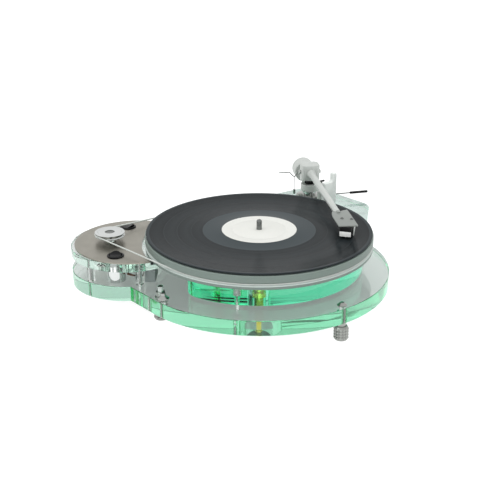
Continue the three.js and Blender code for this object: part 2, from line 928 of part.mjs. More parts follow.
function addRockers() {
  const canLow = lowerTop + seatGap;
  const well = plateTop - rocker.wellDepth;
  for (const each of rockers) {
    const at = rockerPlace(each);
    const body = solidTurned([
      [0, canLow],
      [rocker.canRadius, canLow],
      [rocker.canRadius, coverUnderside],
      [rocker.barrelRadius, coverUnderside],
      [rocker.barrelRadius, plateTop],
      [rocker.bezelRadius, plateTop],
      [rocker.bezelRadius, plateTop + rocker.bezelHeight / 2],
      [rocker.barrelRadius, plateTop + rocker.bezelHeight],
      [rocker.wellRadius, plateTop + rocker.bezelHeight],
      [rocker.wellRadius, well],
      [0, well],
    ]);
    addPiece(each.name + "_switch_body", body.translate(at.x, at.y, 0), "black");

    const side = new THREE.Shape();
    const reach = rocker.paddleRadius;
    const low = -rocker.paddleSide;
    side.moveTo(-reach, rocker.paddleEdge);
    side.lineTo(-reach, low);
    side.quadraticCurveTo(0, low - rocker.paddleBelly, reach, low);
    side.lineTo(reach, rocker.paddleEdge);
    side.quadraticCurveTo(0, rocker.paddleMiddle, -reach, rocker.paddleEdge);
    const bar = slab(side, -reach, 2 * reach, tubeSides).rotateX(Math.PI / 2);
    const round = rod(reach, -2 * rocker.paddleBelly, 2 * rocker.paddleBelly, midRound);
    const pinEnd = rocker.wellRadius - seatGap;
    const pin = rod(rocker.pinRadius, -pinEnd, pinEnd, pinRound).rotateX(Math.PI / 2);
    const paddle = join(overlapOf(bar, round), pin);
    const piece = addPiece(each.name + "_switch_paddle", paddle, "black");
    piece.rotation.set(0, -radians(rocker.tilt), 0);
    const seat = new THREE.Group();
    seat.position.set(at.x, at.y, plateTop + rocker.axisHeight);
    seat.rotation.z = radians(each.turn);
    seat.add(piece);
    model.add(seat);
  }
}

// The small grey supply box between the plinth and the cover, with its power inlet,
// and the short loom from the front switch to it.

function addSupply() {
  const { width, length, height } = supplyBox;
  const x = supplyBox.inwards - lobeReach;
  const y = -supplyBox.aside;
  const outline = new THREE.Shape();
  outline.moveTo(x - width / 2, y - length / 2);
  outline.lineTo(x + width / 2, y - length / 2);
  outline.lineTo(x + width / 2, y + length / 2);
  outline.lineTo(x - width / 2, y + length / 2);
  addPiece("supply_box", slab(outline, lowerTop, height), "grey");

  const socket = solidTurned([
    [0, 0],
    [inlet.radius, 0],
    [inlet.radius, inlet.length],
    [inlet.boreRadius, inlet.length],
    [inlet.boreRadius, inlet.length - inlet.boreDepth],
    [0, inlet.length - inlet.boreDepth],
  ], smallRound);
  socket.rotateX(-Math.PI / 2);
  addPiece("power_inlet", socket.translate(x, y + length / 2, lowerTop + inlet.height), "black");

  const front = rockerPlace(rockers[0]);
  const loomHeight = lowerTop + inlet.height;
  const away = seatGap + loom.radius;
  const start = new THREE.Vector3(front.x + rocker.canRadius + away, front.y, loomHeight);
  const end = new THREE.Vector3(x - width / 2 - away, y - length / 4, loomHeight);
  const middle = start.clone().lerp(end, 1 / 2);
  middle.y -= loom.bow;
  const path = new THREE.QuadraticBezierCurve3(start, middle, end);
  addPiece("wire_loom", tubeAlong(path, loom.radius, pinRound), "copper");
}

// The arm's fixed parts.

function armPlace(radius, swing) {
  return polar(radius, arm.playAngle + swing).add(new THREE.Vector2(arm.pivotX, arm.pivotY));
}

function addArmBase() {
  const baseTop = upperTop + armBase.thick;
  const base = solidTurned([
    [0, upperTop],
    [armBase.radius, upperTop],
    [armBase.radius, baseTop - armBase.rimDrop],
    [armBase.radius - armBase.rimDrop, baseTop],
    [0, baseTop],
  ]);
  addPiece("arm_base", base.translate(arm.pivotX, arm.pivotY, 0), "steel");
  const pillarTop = baseTop + pillar.height;
  const yokeLow = pivotZ - yoke.lower;
  const column = solidTurned([
    [0, baseTop],
    [pillar.radius, baseTop],
    [pillar.radius, pillarTop],
    [pillar.neckRadius, pillarTop],
    [pillar.neckRadius, yokeLow - seatGap],
    [0, yokeLow - seatGap],
  ]);
  addPiece("arm_pillar", column.translate(arm.pivotX, arm.pivotY, 0), "satin");

  const gland = rod(leadGland.radius, upperUnderside - leadGland.length, upperUnderside);
  addPiece("lead_gland", gland.translate(arm.pivotX, arm.pivotY, 0), "black");
}

// The rest is a clear upright with a ledge under the parked tube and a post beside it.
// It is drawn in its own plane, with the tube's middle as origin.

function addArmRest() {
  const notch = arm.tubeRadius + armRest.sideGap;
  const postHigh = recordTop + armRest.postTop - pivotZ;
  const foot0 = upperTop - pivotZ;
  const shape = new THREE.Shape();
  shape.moveTo(-armRest.ledge, foot0);
  shape.lineTo(notch + armRest.postWidth, foot0);
  shape.lineTo(notch + armRest.postWidth, postHigh);
  shape.lineTo(notch, postHigh);
  shape.lineTo(notch, 0);
  shape.absarc(0, 0, notch, 0, -Math.PI / 2, true);
  shape.lineTo(-armRest.ledge, -notch);
  const upright = slab(shape, -armRest.thick / 2, armRest.thick, tubeSides);
  upright.rotateX(Math.PI / 2).rotateZ(radians(arm.playAngle + arm.parkSwing + 90));
  const at = armPlace(armRest.ringRadius, arm.parkSwing);
  addPiece("arm_rest", upright.translate(at.x, at.y, pivotZ), "acrylic");
}

// The lift: a fixed base, a curved rail on a piston under the tube, and the cue lever.

function addLift() {
  const at = armPlace(lift.ringRadius, lift.swing);
  const baseHigh = upperTop + lift.baseHeight;
  const railZ = pivotZ - arm.tubeRadius - lift.railGap - lift.railRadius;
  const pistonLow = baseHigh - lift.baseHeight / 2;
  const bore = lift.pistonRadius + seatGap;
  const base = solidTurned([
    [0, upperTop],
    [lift.baseRadius, upperTop],
    [lift.baseRadius, baseHigh],
    [bore, baseHigh],
    [bore, pistonLow - seatGap],
    [0, pistonLow - seatGap],
  ], smallRound);
  addPiece("lift_base", base.translate(at.x, at.y, 0), "satin");

  const railPoints = [];
  for (let i = 0; i <= tubeSides; i++) {
    const swing = lift.swing - lift.railInner + ((lift.railInner + lift.railOuter) * i) / tubeSides;
    const point = armPlace(lift.ringRadius, swing);
    railPoints.push(new THREE.Vector3(point.x, point.y, railZ));
  }
  const rail = tubeAlong(new THREE.CatmullRomCurve3(railPoints), lift.railRadius, pinRound);
  const piston = rod(lift.pistonRadius, pistonLow, railZ, pinRound).translate(at.x, at.y, 0);
  addPiece("lift_rail", join(piston, rail), "black");

  const lever = new THREE.Group();
  lever.position.set(at.x, at.y, upperTop + lift.leverHeight);
  lever.rotation.z = radians(lift.leverAngle);
  const barStart = lift.baseRadius + seatGap + lift.knuckleRadius;
  const bar = rod(lift.leverRadius, barStart, lift.leverLength, tubeSides).rotateY(Math.PI / 2);
  const halfLength = lift.knuckleLength / 2;
  const knuckle = rod(lift.knuckleRadius, -halfLength, halfLength, pinRound).rotateX(Math.PI / 2);
  addPiece("cue_lever", join(bar, knuckle.translate(barStart, 0, 0)), "steel", lever);
  const gripStart = lift.leverLength + seatGap / 2;
  const grip = rod(lift.gripRadius, gripStart, gripStart + lift.gripLength, pinRound).rotateY(Math.PI / 2);
  addPiece("cue_grip", grip, "black", lever);
  model.add(lever);
}

// The moving arm, in its own frame.

function roundedBox(width, depth, corner) {
  const w = width / 2;
  const d = depth / 2;
  const shape = new THREE.Shape();
  shape.absarc(d - corner, w - corner, corner, 0, Math.PI / 2, false);
  shape.absarc(-d + corner, w - corner, corner, Math.PI / 2, Math.PI, false);
  shape.absarc(-d + corner, -w + corner, corner, Math.PI, 1.5 * Math.PI, false);
  shape.absarc(d - corner, -w + corner, corner, 1.5 * Math.PI, 2 * Math.PI, false);
  return shape;
}

function addYoke(frame) {
  const block = slab(roundedBox(yoke.width, yoke.depth, yoke.corner), -yoke.lower, yoke.height, tubeSides);
  const half = yoke.width / 2;
  const capEnd = half + yoke.capReach;
  const cap = rod(yoke.capRadius, -capEnd, capEnd).rotateX(Math.PI / 2);
  const bore = rod(arm.tubeRadius + yoke.boreGap, -yoke.depth, yoke.depth).rotateY(Math.PI / 2);
  const pinEnd = half + seatGap;
  const pinBore = rod(yoke.pinRadius + runningGap, -pinEnd, pinEnd).rotateX(Math.PI / 2);
  addPiece("arm_yoke", cut(join(block, cap), bore, pinBore), "satin", frame);
}

// The tube carries a cross pin, on which it tips in the yoke, and a stub for the weight.
function addTube(frame) {
  const tube = rod(arm.tubeRadius, -arm.tubeRear, tubeEnd).rotateY(Math.PI / 2);
  const tail = rod(stub.radius, -stub.end, -arm.tubeRear + overrun).rotateY(Math.PI / 2);
  const pin = rod(yoke.pinRadius, -yoke.width / 2, yoke.width / 2, pinRound).rotateX(Math.PI / 2);
  addPiece("arm_tube", join(tube, tail, pin), "satin", frame);
}

function addCounterweight(frame) {
  const { radius, length, near, drop, chamfer } = counterweight;
  const drum = solidTurned([
    [0, 0],
    [radius - chamfer, 0],
    [radius, chamfer],
    [radius, length - chamfer],
    [radius - chamfer, length],
    [0, length],
  ]);
  drum.rotateY(-Math.PI / 2).translate(-near, 0, -drop);
  const bore = rod(stub.radius + seatGap, -near - length - overrun, -near + overrun).rotateY(Math.PI / 2);
  addPiece("counterweight", cut(drum, bore), "satin", frame);
}

function addHeadshell(frame) {
  const { inner, outer, thick, flare, cheek, frontSlant, drop, socketLength } = headshell;
  const rear = headshellRear;
  const front = headshellFront;
  const half = arm.tubeRadius;
  const shape = new THREE.Shape();
  shape.moveTo(rear + cheek, -half);
  shape.quadraticCurveTo(rear + cheek, -inner, rear + flare, -inner);
  shape.lineTo(front - frontSlant, -inner);
  shape.lineTo(front, outer);
  shape.lineTo(rear, outer);
  shape.lineTo(rear + cheek, half);
  const upper = arm.tubeRadius - drop;
  const plate = slab(shape, upper - thick, thick, tubeSides);
  const hole = rod(arm.tubeRadius + seatGap, rear - overrun, tubeEnd + seatGap).rotateY(Math.PI / 2);
  const socketRear = tubeEnd + seatGap;
  const socket = rod(arm.tubeRadius, socketRear, socketRear + socketLength).rotateY(Math.PI / 2);
  addPiece("headshell", join(cut(plate, hole), socket), "satin", frame);
}

function addCartridge(frame) {
  const top = arm.tubeRadius - headshell.drop - headshell.thick;
  const low = -arm.pivotHeight + seatGap;
  const bodyLow = top - cartridge.height;
  const { halfWidth, noseHeight, noseSlant, bandThick, bandHeight, bandLow } = cartridge;
  const front = cartridge.ahead;
  const rear = front - cartridge.length;
  // Drawn from the stylus, turned to its offset angle and set out along the arm.
  const place = (piece) => piece.rotateZ(radians(cartridge.offsetAngle)).translate(arm.reach, 0, 0);
  const side = new THREE.Shape();
  side.moveTo(rear, top);
  side.lineTo(rear, bodyLow + noseHeight);
  side.lineTo(rear + noseSlant, bodyLow);
  side.lineTo(front - noseSlant, bodyLow);
  side.lineTo(front, bodyLow + bandLow);
  side.lineTo(front, top);
  const body = slab(side, -halfWidth, 2 * halfWidth).rotateX(Math.PI / 2);
  addPiece("cartridge", place(body), "black", frame);

  const bandShape = new THREE.Shape();
  bandShape.moveTo(front, -halfWidth);
  bandShape.lineTo(front + bandThick, -halfWidth);
  bandShape.lineTo(front + bandThick, halfWidth);
  bandShape.lineTo(front, halfWidth);
  const bandZ = bodyLow + bandLow;
  const band = slab(bandShape, bandZ, bandHeight);
  addPiece("cartridge_band", place(band.translate(seatGap / 2, 0, 0)), "paper", frame);

  const needle = solidTurned([
    [0, low],
    [cartridge.tipRadius, low],
    [cartridge.tipTopRadius, bodyLow],
    [0, bodyLow],
  ], tubeSides);
  addPiece("stylus", needle.translate(arm.reach, 0, 0), "steel", frame);
}

// A small bright tab hangs under the headshell, outside the cartridge.
function addFingerLift(frame) {
  const { inset, width, tipWidth, lean, drop, setback, length } = fingerLift;
  const top = arm.tubeRadius - headshell.drop - headshell.thick;
  const outer = headshell.outer - inset;
  const shape = new THREE.Shape();
  shape.moveTo(outer - width, top);
  shape.lineTo(outer - width - lean, top - drop);
  shape.lineTo(outer - width - lean + tipWidth, top - drop);
  shape.lineTo(outer, top);
  const tab = slab(shape, headshellFront - setback - length, length, tubeSides);
  tab.rotateX(Math.PI / 2).rotateZ(Math.PI / 2);
  addPiece("finger_lift", tab, "satin", frame);
}

// The wire on the end of the yoke's left cap, with the bias weight hanging from its dip.

function addBias(frame) {
  const { radius, dipReach, dip, kneeReach, reach } = biasRod;
  const { threadRadius, weightRadius, weightHeight, weightTop } = biasRod;
  const start = yoke.width / 2 + yoke.capReach + seatGap;
  const at = (out, down) => new THREE.Vector3(0, -out, -down);
  const bend = start + 2 * radius;
  const path = new THREE.CurvePath();
  path.add(new THREE.LineCurve3(at(start, 0), at(bend, 0)));
  const falling = at((bend + dipReach) / 2, dip);
  const rising = at((dipReach + kneeReach) / 2, dip);
  path.add(new THREE.QuadraticBezierCurve3(at(bend, 0), falling, at(dipReach, dip)));
  path.add(new THREE.QuadraticBezierCurve3(at(dipReach, dip), rising, at(kneeReach, 0)));
  path.add(new THREE.LineCurve3(at(kneeReach, 0), at(reach, 0)));
  addPiece("bias_rod", tubeAlong(path, radius, midRound), "steel", frame);

  const beside = radius + threadRadius + seatGap / 2;
  const top = -arm.pivotHeight - weightTop;
  const thread = rod(threadRadius, top - overrun, -dip + radius, beltSides);
  const drum = rod(weightRadius, top - weightHeight, top, pinRound);
  addPiece("bias_weight", join(thread, drum).translate(beside, -dipReach, 0), "black", frame);
}

function addArm() {
  const frame = new THREE.Group();
  frame.position.set(arm.pivotX, arm.pivotY, pivotZ);
  frame.rotation.z = radians(arm.playAngle);
  addYoke(frame);
  addTube(frame);
  addCounterweight(frame);
  addHeadshell(frame);
  addCartridge(frame);
  addFingerLift(frame);
  addBias(frame);
  model.add(frame);
}

addLowerPlinth();
addUpperPlinth();
addIsolators();
addFeet();
addLockStud();
addBearing();
addPlatter();
addPod();
addMotor();
addBelt();
addRockers();
addSupply();
addArmBase();
addArmRest();
addLift();
addArm();

// The whole model moves so that the middle of its box's underside is the origin.
model.updateMatrixWorld(true);
const box = new THREE.Box3().setFromObject(model, true);
model.position.set(-(box.min.x + box.max.x) / 2, -(box.min.y + box.max.y) / 2, -box.min.z);

export default model;
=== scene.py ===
# %% [markdown]
# # A belt-driven turntable on clear acrylic
#
# The turntable is two stacked sheets of cast acrylic on three knurled feet. The
# lower one carries a motor pod at its left, and the upper one the platter's bearing
# and the arm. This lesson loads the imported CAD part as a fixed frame, and makes each
# visible piece again with smooth curves, small bevels and real materials. Every
# piece rides on a body of the frame.

import math

import bmesh
import bpy
from mathutils import Matrix, Vector


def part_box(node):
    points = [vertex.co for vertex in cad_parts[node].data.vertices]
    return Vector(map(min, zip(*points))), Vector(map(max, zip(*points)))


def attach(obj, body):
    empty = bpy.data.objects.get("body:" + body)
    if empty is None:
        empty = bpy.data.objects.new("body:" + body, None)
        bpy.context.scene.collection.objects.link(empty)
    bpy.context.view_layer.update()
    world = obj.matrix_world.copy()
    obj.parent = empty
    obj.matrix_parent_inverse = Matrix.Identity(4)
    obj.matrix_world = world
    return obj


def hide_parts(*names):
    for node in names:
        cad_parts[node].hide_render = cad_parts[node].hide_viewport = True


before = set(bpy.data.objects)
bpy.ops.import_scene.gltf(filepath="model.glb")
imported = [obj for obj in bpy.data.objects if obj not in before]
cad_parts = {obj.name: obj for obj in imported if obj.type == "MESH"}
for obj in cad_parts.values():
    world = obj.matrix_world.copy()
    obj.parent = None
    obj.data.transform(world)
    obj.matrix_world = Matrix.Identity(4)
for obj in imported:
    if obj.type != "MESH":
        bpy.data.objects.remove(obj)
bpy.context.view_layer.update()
scene = bpy.context.scene

# %% [markdown]
# ## One place to measure from
#
# All shapes are worked out in millimetres from the platter's axis, because nearly
# everything is laid out round it. The middle of the record's box gives the axis, and
# one matrix takes each finished mesh into the part's frame, which is in metres.

# %% The platter's axis and the heights of the layers
MM = 0.001
record_low, record_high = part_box("record")
axis_x = (record_low.x + record_high.x) / 2
axis_y = (record_low.y + record_high.y) / 2
TO_FRAME = Matrix.Translation((axis_x, axis_y, 0)) @ Matrix.Scale(MM, 4)


def heights(node):
    """The lowest and highest level of a CAD node, in millimetres."""
    low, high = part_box(node)
    return low.z / MM, high.z / MM


lower_low, lower_top = heights("lower_plinth")
upper_low, upper_top = heights("upper_plinth")
platter_low, platter_top = heights("platter")
mat_top = heights("mat")[1]
record_top = heights("record")[1]
cover_low, cover_top = heights("motor_cover")
plate_top = heights("cover_plate")[1]
PIVOT_OVER_RECORD = 15
pivot_z = record_top + PIVOT_OVER_RECORD
print("platter axis at", round(axis_x, 4), round(axis_y, 4), "record top", round(record_top, 2))

# %% [markdown]
# ## The camera
#
# The photograph looks down at the record from in front. The camera's place was fitted,
# for a 72 mm lens, to the outlines of the record, its label and the lower plinth.

# %% A helper that adds an object


def add_object(name, data):
    """Puts an object with its data into the scene."""
    made = bpy.data.objects.new(name, data)
    scene.collection.objects.link(made)
    return made


# %% The camera
camera_data = bpy.data.cameras.new("camera")
camera_data.lens = 72
camera_data.sensor_width = 36
camera_data.clip_start = 0.01
camera = add_object("camera", camera_data)
CAMERA_BACK = 1.24779
CAMERA_UP = 0.47406
camera.location = (axis_x, axis_y - CAMERA_BACK, record_top * MM + CAMERA_UP)
looking = Vector((-0.009115, 0.927149, -0.374582))
camera.rotation_euler = looking.to_track_quat("-Z", "Y").to_euler()
scene.camera = camera

# %% [markdown]
# ## Light, floor and background
#
# The photograph is a product shot on pure white. Large soft lamps give its even light
# and soft shadows. The camera, mirrors and metals see the world and the floor white
# in place of the lamps, and clear plastic shows them darker. What lights the object
# is darker still, so that nothing washes out. The floor keeps its shadow.

# %% A helper that adds a node


def add_node(tree, kind, inputs=None, **settings):
    """Adds one node, sets its own settings, and sets or links its inputs."""
    made = tree.nodes.new("ShaderNode" + kind)
    for name, value in settings.items():
        setattr(made, name, value)
    for name, value in (inputs or {}).items():
        socket = made.inputs[name]
        if isinstance(value, bpy.types.NodeSocket):
            tree.links.new(value, socket)
        else:
            socket.default_value = value
    return made


def linear(hex_colour):
    """Turns an sRGB hex colour, as a picture shows it, to the linear one that light uses."""
    channels = []
    for start in (0, 2, 4):
        value = int(hex_colour[start:start + 2], 16) / 255
        channels.append(value / 12.92 if value <= 0.04045 else ((value + 0.055) / 1.055) ** 2.4)
    return (*channels, 1)


def blend_of(tree, operation, first, second):
    """One sum, product or other result of two numbers or sockets."""
    return add_node(tree, "Math", {0: first, 1: second}, operation=operation).outputs[0]


def strength_for(tree, lighting, seen, seen_through):
    """One strength for rays that light, one for the camera and mirrors, one for clear plastic."""
    path = add_node(tree, "LightPath")
    through = path.outputs["Is Transmission Ray"]
    # A ray through clear plastic counts as glossy too, so it is taken out here.
    either = blend_of(tree, "MAXIMUM", path.outputs["Is Camera Ray"], path.outputs["Is Glossy Ray"])
    direct = blend_of(tree, "GREATER_THAN", either, through)
    straight = blend_of(tree, "MULTIPLY", direct, seen - lighting)
    bent = blend_of(tree, "MULTIPLY", through, seen_through - lighting)
    return blend_of(tree, "ADD", blend_of(tree, "ADD", lighting, straight), bent)


# %% The world
world = bpy.data.worlds.new("white studio")
world.use_nodes = True
scene.world = world
tree = world.node_tree
tree.nodes.clear()
LIT_BY = 0.72
SEEN = 1
SEEN_THROUGH = 0.85
strength = strength_for(tree, LIT_BY, SEEN, SEEN_THROUGH)
backdrop = add_node(tree, "Background", {"Color": (1, 1, 1, 1), "Strength": strength})
add_node(tree, "OutputWorld", {"Surface": backdrop.outputs[0]})

# %% The floor
floor_mesh = bpy.data.meshes.new("floor")
bm = bmesh.new()
bmesh.ops.create_grid(bm, x_segments=1, y_segments=1, size=6)
bm.to_mesh(floor_mesh)
bm.free()
floor = add_object("floor", floor_mesh)
floor_material = bpy.data.materials.new("white paper sweep")
floor_material.use_nodes = True
tree = floor_material.node_tree
tree.nodes.clear()
PAPER_GREY = "B0B3B2"
GLOW = 0.86  # lifts the grey to white for the camera
GLOW_THROUGH = 0.26
paper = add_node(tree, "BsdfDiffuse", {"Color": linear(PAPER_GREY)})
# The photograph's own table was cut away round the object, but still shows, grey,
# through the clear sheets. So the floor glows less for rays that come through them.
strength = strength_for(tree, 0, GLOW, GLOW_THROUGH)
lift = add_node(tree, "Emission", {"Color": (1, 1, 1, 1), "Strength": strength})
surface = add_node(tree, "AddShader", {0: paper.outputs[0], 1: lift.outputs[0]})
add_node(tree, "OutputMaterial", {"Surface": surface.outputs[0]})
floor_mesh.materials.append(floor_material)

# %% The lamps
AIM = Vector((axis_x, axis_y, 0.08))


def soft_lamp(name, place, size, power):
    """A square soft lamp that faces the turntable."""
    data = bpy.data.lights.new(name, "AREA")
    data.size = size
    data.energy = power
    lamp = add_object(name, data)
    lamp.location = place
    lamp.rotation_euler = (AIM - Vector(place)).to_track_quat("-Z", "Y").to_euler()
    lamp.visible_camera = False
    lamp.visible_glossy = False


soft_lamp("overhead", (0.1, -0.1, 1.7), 1.6, 8)
soft_lamp("left window", (-1.5, -0.9, 1.1), 0.9, 4)
soft_lamp("front fill", (0.3, -1.9, 0.6), 1.2, 6)
scene.view_settings.view_transform = "Standard"

# %% Long light paths
# Light runs along a clear sheet by many reflections between its two faces. A path that
# is cut short turns black, so these may run long.
BOUNCES = 40
scene.cycles.max_bounces = BOUNCES
scene.cycles.glossy_bounces = BOUNCES
scene.cycles.transmission_bounces = BOUNCES
scene.cycles.transparent_max_bounces = 24

# %% [markdown]
# ## Helpers for shaping
#
# A machined piece is mostly a section turned on a lathe or a flat outline cut from a
# sheet. The first is a spin about an axis, the second an extruded face. Real edges
# are never quite sharp, so each section has small slopes at its corners and each
# sheet small bevels, which catch the light. Holes are cut with a Boolean.

# %% Turn, cut from sheet, bevel
MIDDLE = (0, 0)
MERGE = 1e-4  # points this near to each other, in millimetres, are one
ROUNDED_FROM = 40  # degrees between two faces


def rotation(degrees, axis):
    """A turn about the X, Y or Z axis."""
    return Matrix.Rotation(math.radians(degrees), 4, axis)


def shift(x, y, z):
    """A move by three lengths."""
    return Matrix.Translation((x, y, z))


def turned(profile, steps=96, at=MIDDLE):
    """Spins a half-section of (radius, height) pairs about an upright axis."""
    bm = bmesh.new()
    corners = [bm.verts.new((radius, 0, height)) for radius, height in profile]
    pairs = list(zip(corners, corners[1:]))
    if profile[0][0] > 0:
        pairs.append((corners[-1], corners[0]))
    edges = [bm.edges.new(pair) for pair in pairs]
    bmesh.ops.spin(bm, geom=corners + edges, cent=(0, 0, 0), axis=(0, 0, 1),
                   angle=2 * math.pi, steps=steps, use_merge=True)
    bmesh.ops.remove_doubles(bm, verts=bm.verts, dist=MERGE)
    bmesh.ops.recalc_face_normals(bm, faces=bm.faces)
    bm.transform(shift(*at, 0))
    return bm


def above(level, *pairs):
    """The part of a half-section whose heights count from one level."""
    return [(radius, level + rise) for radius, rise in pairs]


def cuboid(size, centre):
    """A box of a size about a centre."""
    bm = bmesh.new()
    bmesh.ops.create_cube(bm, size=1, matrix=shift(*centre) @ Matrix.Diagonal((*size, 1)))
    return bm


def soften(bm, width, segments=2):
    """Bevels every edge where two faces meet at more than the angle for rounding."""
    sharp = [edge for edge in bm.edges
             if len(edge.link_faces) == 2 and edge.calc_face_angle(0) > math.radians(ROUNDED_FROM)]
    bmesh.ops.bevel(bm, geom=sharp, offset=width, offset_type="OFFSET", segments=segments,
                    profile=0.5, affect="EDGES", clamp_overlap=True, material=-1)
    bmesh.ops.recalc_face_normals(bm, faces=bm.faces)


def arc(bm, centre, start, degrees, steps):
    """A chain of edges from one point, swung about a centre. Returns its two ends."""
    first = bm.verts.new((*start, 0))
    made = bmesh.ops.spin(bm, geom=[first], cent=(*centre, 0), axis=(0, 0, 1),
                          angle=math.radians(degrees), steps=steps, use_merge=False)
    last = [item for item in made["geom_last"] if isinstance(item, bmesh.types.BMVert)][0]
    return first, last


def thicken(bm, low, high, bevel, segments=2):
    """Gives the flat outline in bm a thickness between two heights, and rounds its edges."""
    bm.transform(shift(0, 0, low))
    made = bmesh.ops.extrude_face_region(bm, geom=bm.faces[:])
    raised = [item for item in made["geom"] if isinstance(item, bmesh.types.BMVert)]
    bmesh.ops.translate(bm, verts=raised, vec=(0, 0, high - low))
    bmesh.ops.recalc_face_normals(bm, faces=bm.faces)
    soften(bm, bevel, segments)


def together(*parts):
    """Puts several bmeshes into the first one."""
    whole = parts[0]
    for part in parts[1:]:
        carrier = bpy.data.meshes.new("carrier")
        part.to_mesh(carrier)
        part.free()
        whole.from_mesh(carrier)
        bpy.data.meshes.remove(carrier)
    return whole


# %% Finish a piece


def to_object(name, bm):
    """Puts a bmesh in millimetres into the scene as an object in metres."""
    bm.transform(TO_FRAME)
    mesh = bpy.data.meshes.new(name)
    bm.to_mesh(mesh)
    bm.free()
    return add_object(name, mesh)


def shade(piece, crease=35):
    """Smooth shading, with sharp edges where faces meet at more than the crease's angle."""
    piece.data.shade_smooth()
    piece.data.set_sharp_from_angle(angle=math.radians(crease))


def cut_holes(piece, cutters):
    """Takes the shape of each cutter out of a piece."""
    for cutter in cutters:
        tool = to_object("tool", cutter)
        cut = piece.modifiers.new("Cut", "BOOLEAN")
        cut.object = tool
        cut.operation = "DIFFERENCE"
        cut.solver = "EXACT"
        view = bpy.context.evaluated_depsgraph_get()
        mesh = bpy.data.meshes.new_from_object(piece.evaluated_get(view))
        piece.modifiers.clear()
        piece.data = mesh
        tool_mesh = tool.data
        bpy.data.objects.remove(tool)
        bpy.data.meshes.remove(tool_mesh)


def dress(name, bm, material, body, *stands_for, cutters=(), crease=35):
    """Dresses a body with a piece made of a bmesh, after holes are cut in it."""
    piece = to_object(name, bm)
    piece.data.materials.append(material)
    cut_holes(piece, cutters)
    shade(piece, crease)
    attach(piece, body)
    if stands_for:
        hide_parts(*stands_for)
    print(f"{name}: {len(piece.data.polygons)} faces on {body}")


def lathe(name, material, body, node, profile, steps=96, at=MIDDLE, turn=Matrix(), **more):
    """Turns a half-section, lays it where it belongs, and dresses a body with it."""
    bm = turned(profile, steps, at)
    bm.transform(turn)
    dress(name, bm, material, body, *([node] if node else []), **more)


# %% [markdown]
# ## Materials
#
# Each material starts from what the real one is and how its surface was made. The
# patterns read Object coordinates, in metres in the part's own frame, so that a
# noise of scale 1000 has features of about one millimetre.


def new_material(name, slot, **values):
    """A new material; its slot is not used. Its plain values are named like the sockets."""
    material = bpy.data.materials.new(name)
    material.use_nodes = True
    shader = material.node_tree.nodes["Principled BSDF"]
    for key, value in values.items():
        shader.inputs[key.replace("_", " ")].default_value = value
    return material, material.node_tree, shader


def own_place(tree, stretch=(1, 1, 1), centre=(0, 0, 0)):
    """The place on the piece in metres, counted from a centre and stretched."""
    where = add_node(tree, "TexCoord")
    moved = [-value * factor for value, factor in zip(centre, stretch)]
    mapping = add_node(tree, "Mapping", {"Vector": where.outputs["Object"], "Location": moved,
                                         "Scale": stretch})
    return mapping.outputs["Vector"]


def noise(tree, scale, detail, stretch=(1, 1, 1), rough=0.5):
    """A cloudy pattern of 0 to 1 on the piece."""
    cloud = add_node(tree, "TexNoise", {"Vector": own_place(tree, stretch), "Scale": scale,
                                        "Detail": detail, "Roughness": rough})
    return cloud.outputs["Fac"]


def paint(tree, shader, pattern, dark, light):
    """Colours a surface with two sRGB colours, mixed by a pattern."""
    mix = add_node(tree, "Mix", {"Factor": pattern}, data_type="RGBA")
    mix.inputs[6].default_value = linear(dark)
    mix.inputs[7].default_value = linear(light)
    tree.links.new(mix.outputs[2], shader.inputs["Base Color"])


def polish(tree, shader, pattern, low, high):
    """Lets the roughness of a surface follow a pattern."""
    spread = add_node(tree, "MapRange", {"Value": pattern, "To Min": low, "To Max": high})
    tree.links.new(spread.outputs["Result"], shader.inputs["Roughness"])


def relief(tree, shader, pattern, strength, depth):
    """Lets a pattern raise the surface. The depth is in metres."""
    bump = add_node(tree, "Bump", {"Height": pattern, "Strength": strength, "Distance": depth})
    tree.links.new(bump.outputs["Normal"], shader.inputs["Normal"])


def grained(name, slot, dark, light, roughness, grain, bump, depth=0.00006, detail=3.0, **values):
    """A surface with one even fine grain, as moulding, sanding, lacquer or felt has it."""
    material, tree, shader = new_material(name, slot, **values)
    pattern = noise(tree, grain, detail)
    paint(tree, shader, pattern, dark, light)
    if roughness:
        polish(tree, shader, pattern, *roughness)
    relief(tree, shader, pattern, bump, depth)
    return material


# %% [markdown]
# ### Cast acrylic
#
# Cast acrylic has an IOR of 1.49. Its faces are flawless but for a haze of wiping, in
# patches of about 25 mm, and its edges are polished. The tint is in its body: looking
# through 20 mm it is barely green, but light that runs 200 mm inside leaves the edge a
# vivid green. A volume that absorbs red most gives that, and a painted colour never would.

# %% Cast acrylic
ACRYLIC_IOR = 1.49
HAZE = 0.02  # the roughness where the wiping shows most
LAMP_TINT = (0.94, 0.97, 0.95, 1)  # what a face lets by of a lamp's light


def cast_acrylic(name, kept, density):
    """A clear sheet. A metre of it dims each colour by exp(-density * (1 - kept))."""
    material, tree, shader = new_material(name, "acrylic", Base_Color=(1, 1, 1, 1), IOR=ACRYLIC_IOR,
                                          Transmission_Weight=1.0)
    polish(tree, shader, noise(tree, 40.0, 3.0), 0.0, HAZE)
    # Lamps shine through a clear sheet. Without this, what lies under it would stay dark.
    path = add_node(tree, "LightPath")
    open_air = add_node(tree, "BsdfTransparent", {"Color": LAMP_TINT})
    surface = add_node(tree, "MixShader", {0: path.outputs["Is Shadow Ray"], 1: shader.outputs["BSDF"],
                                           2: open_air.outputs[0]})
    body = add_node(tree, "VolumeAbsorption", {"Color": (*kept, 1), "Density": density})
    output = tree.nodes["Material Output"]
    tree.links.new(surface.outputs[0], output.inputs["Surface"])
    tree.links.new(body.outputs["Volume"], output.inputs["Volume"])
    return material


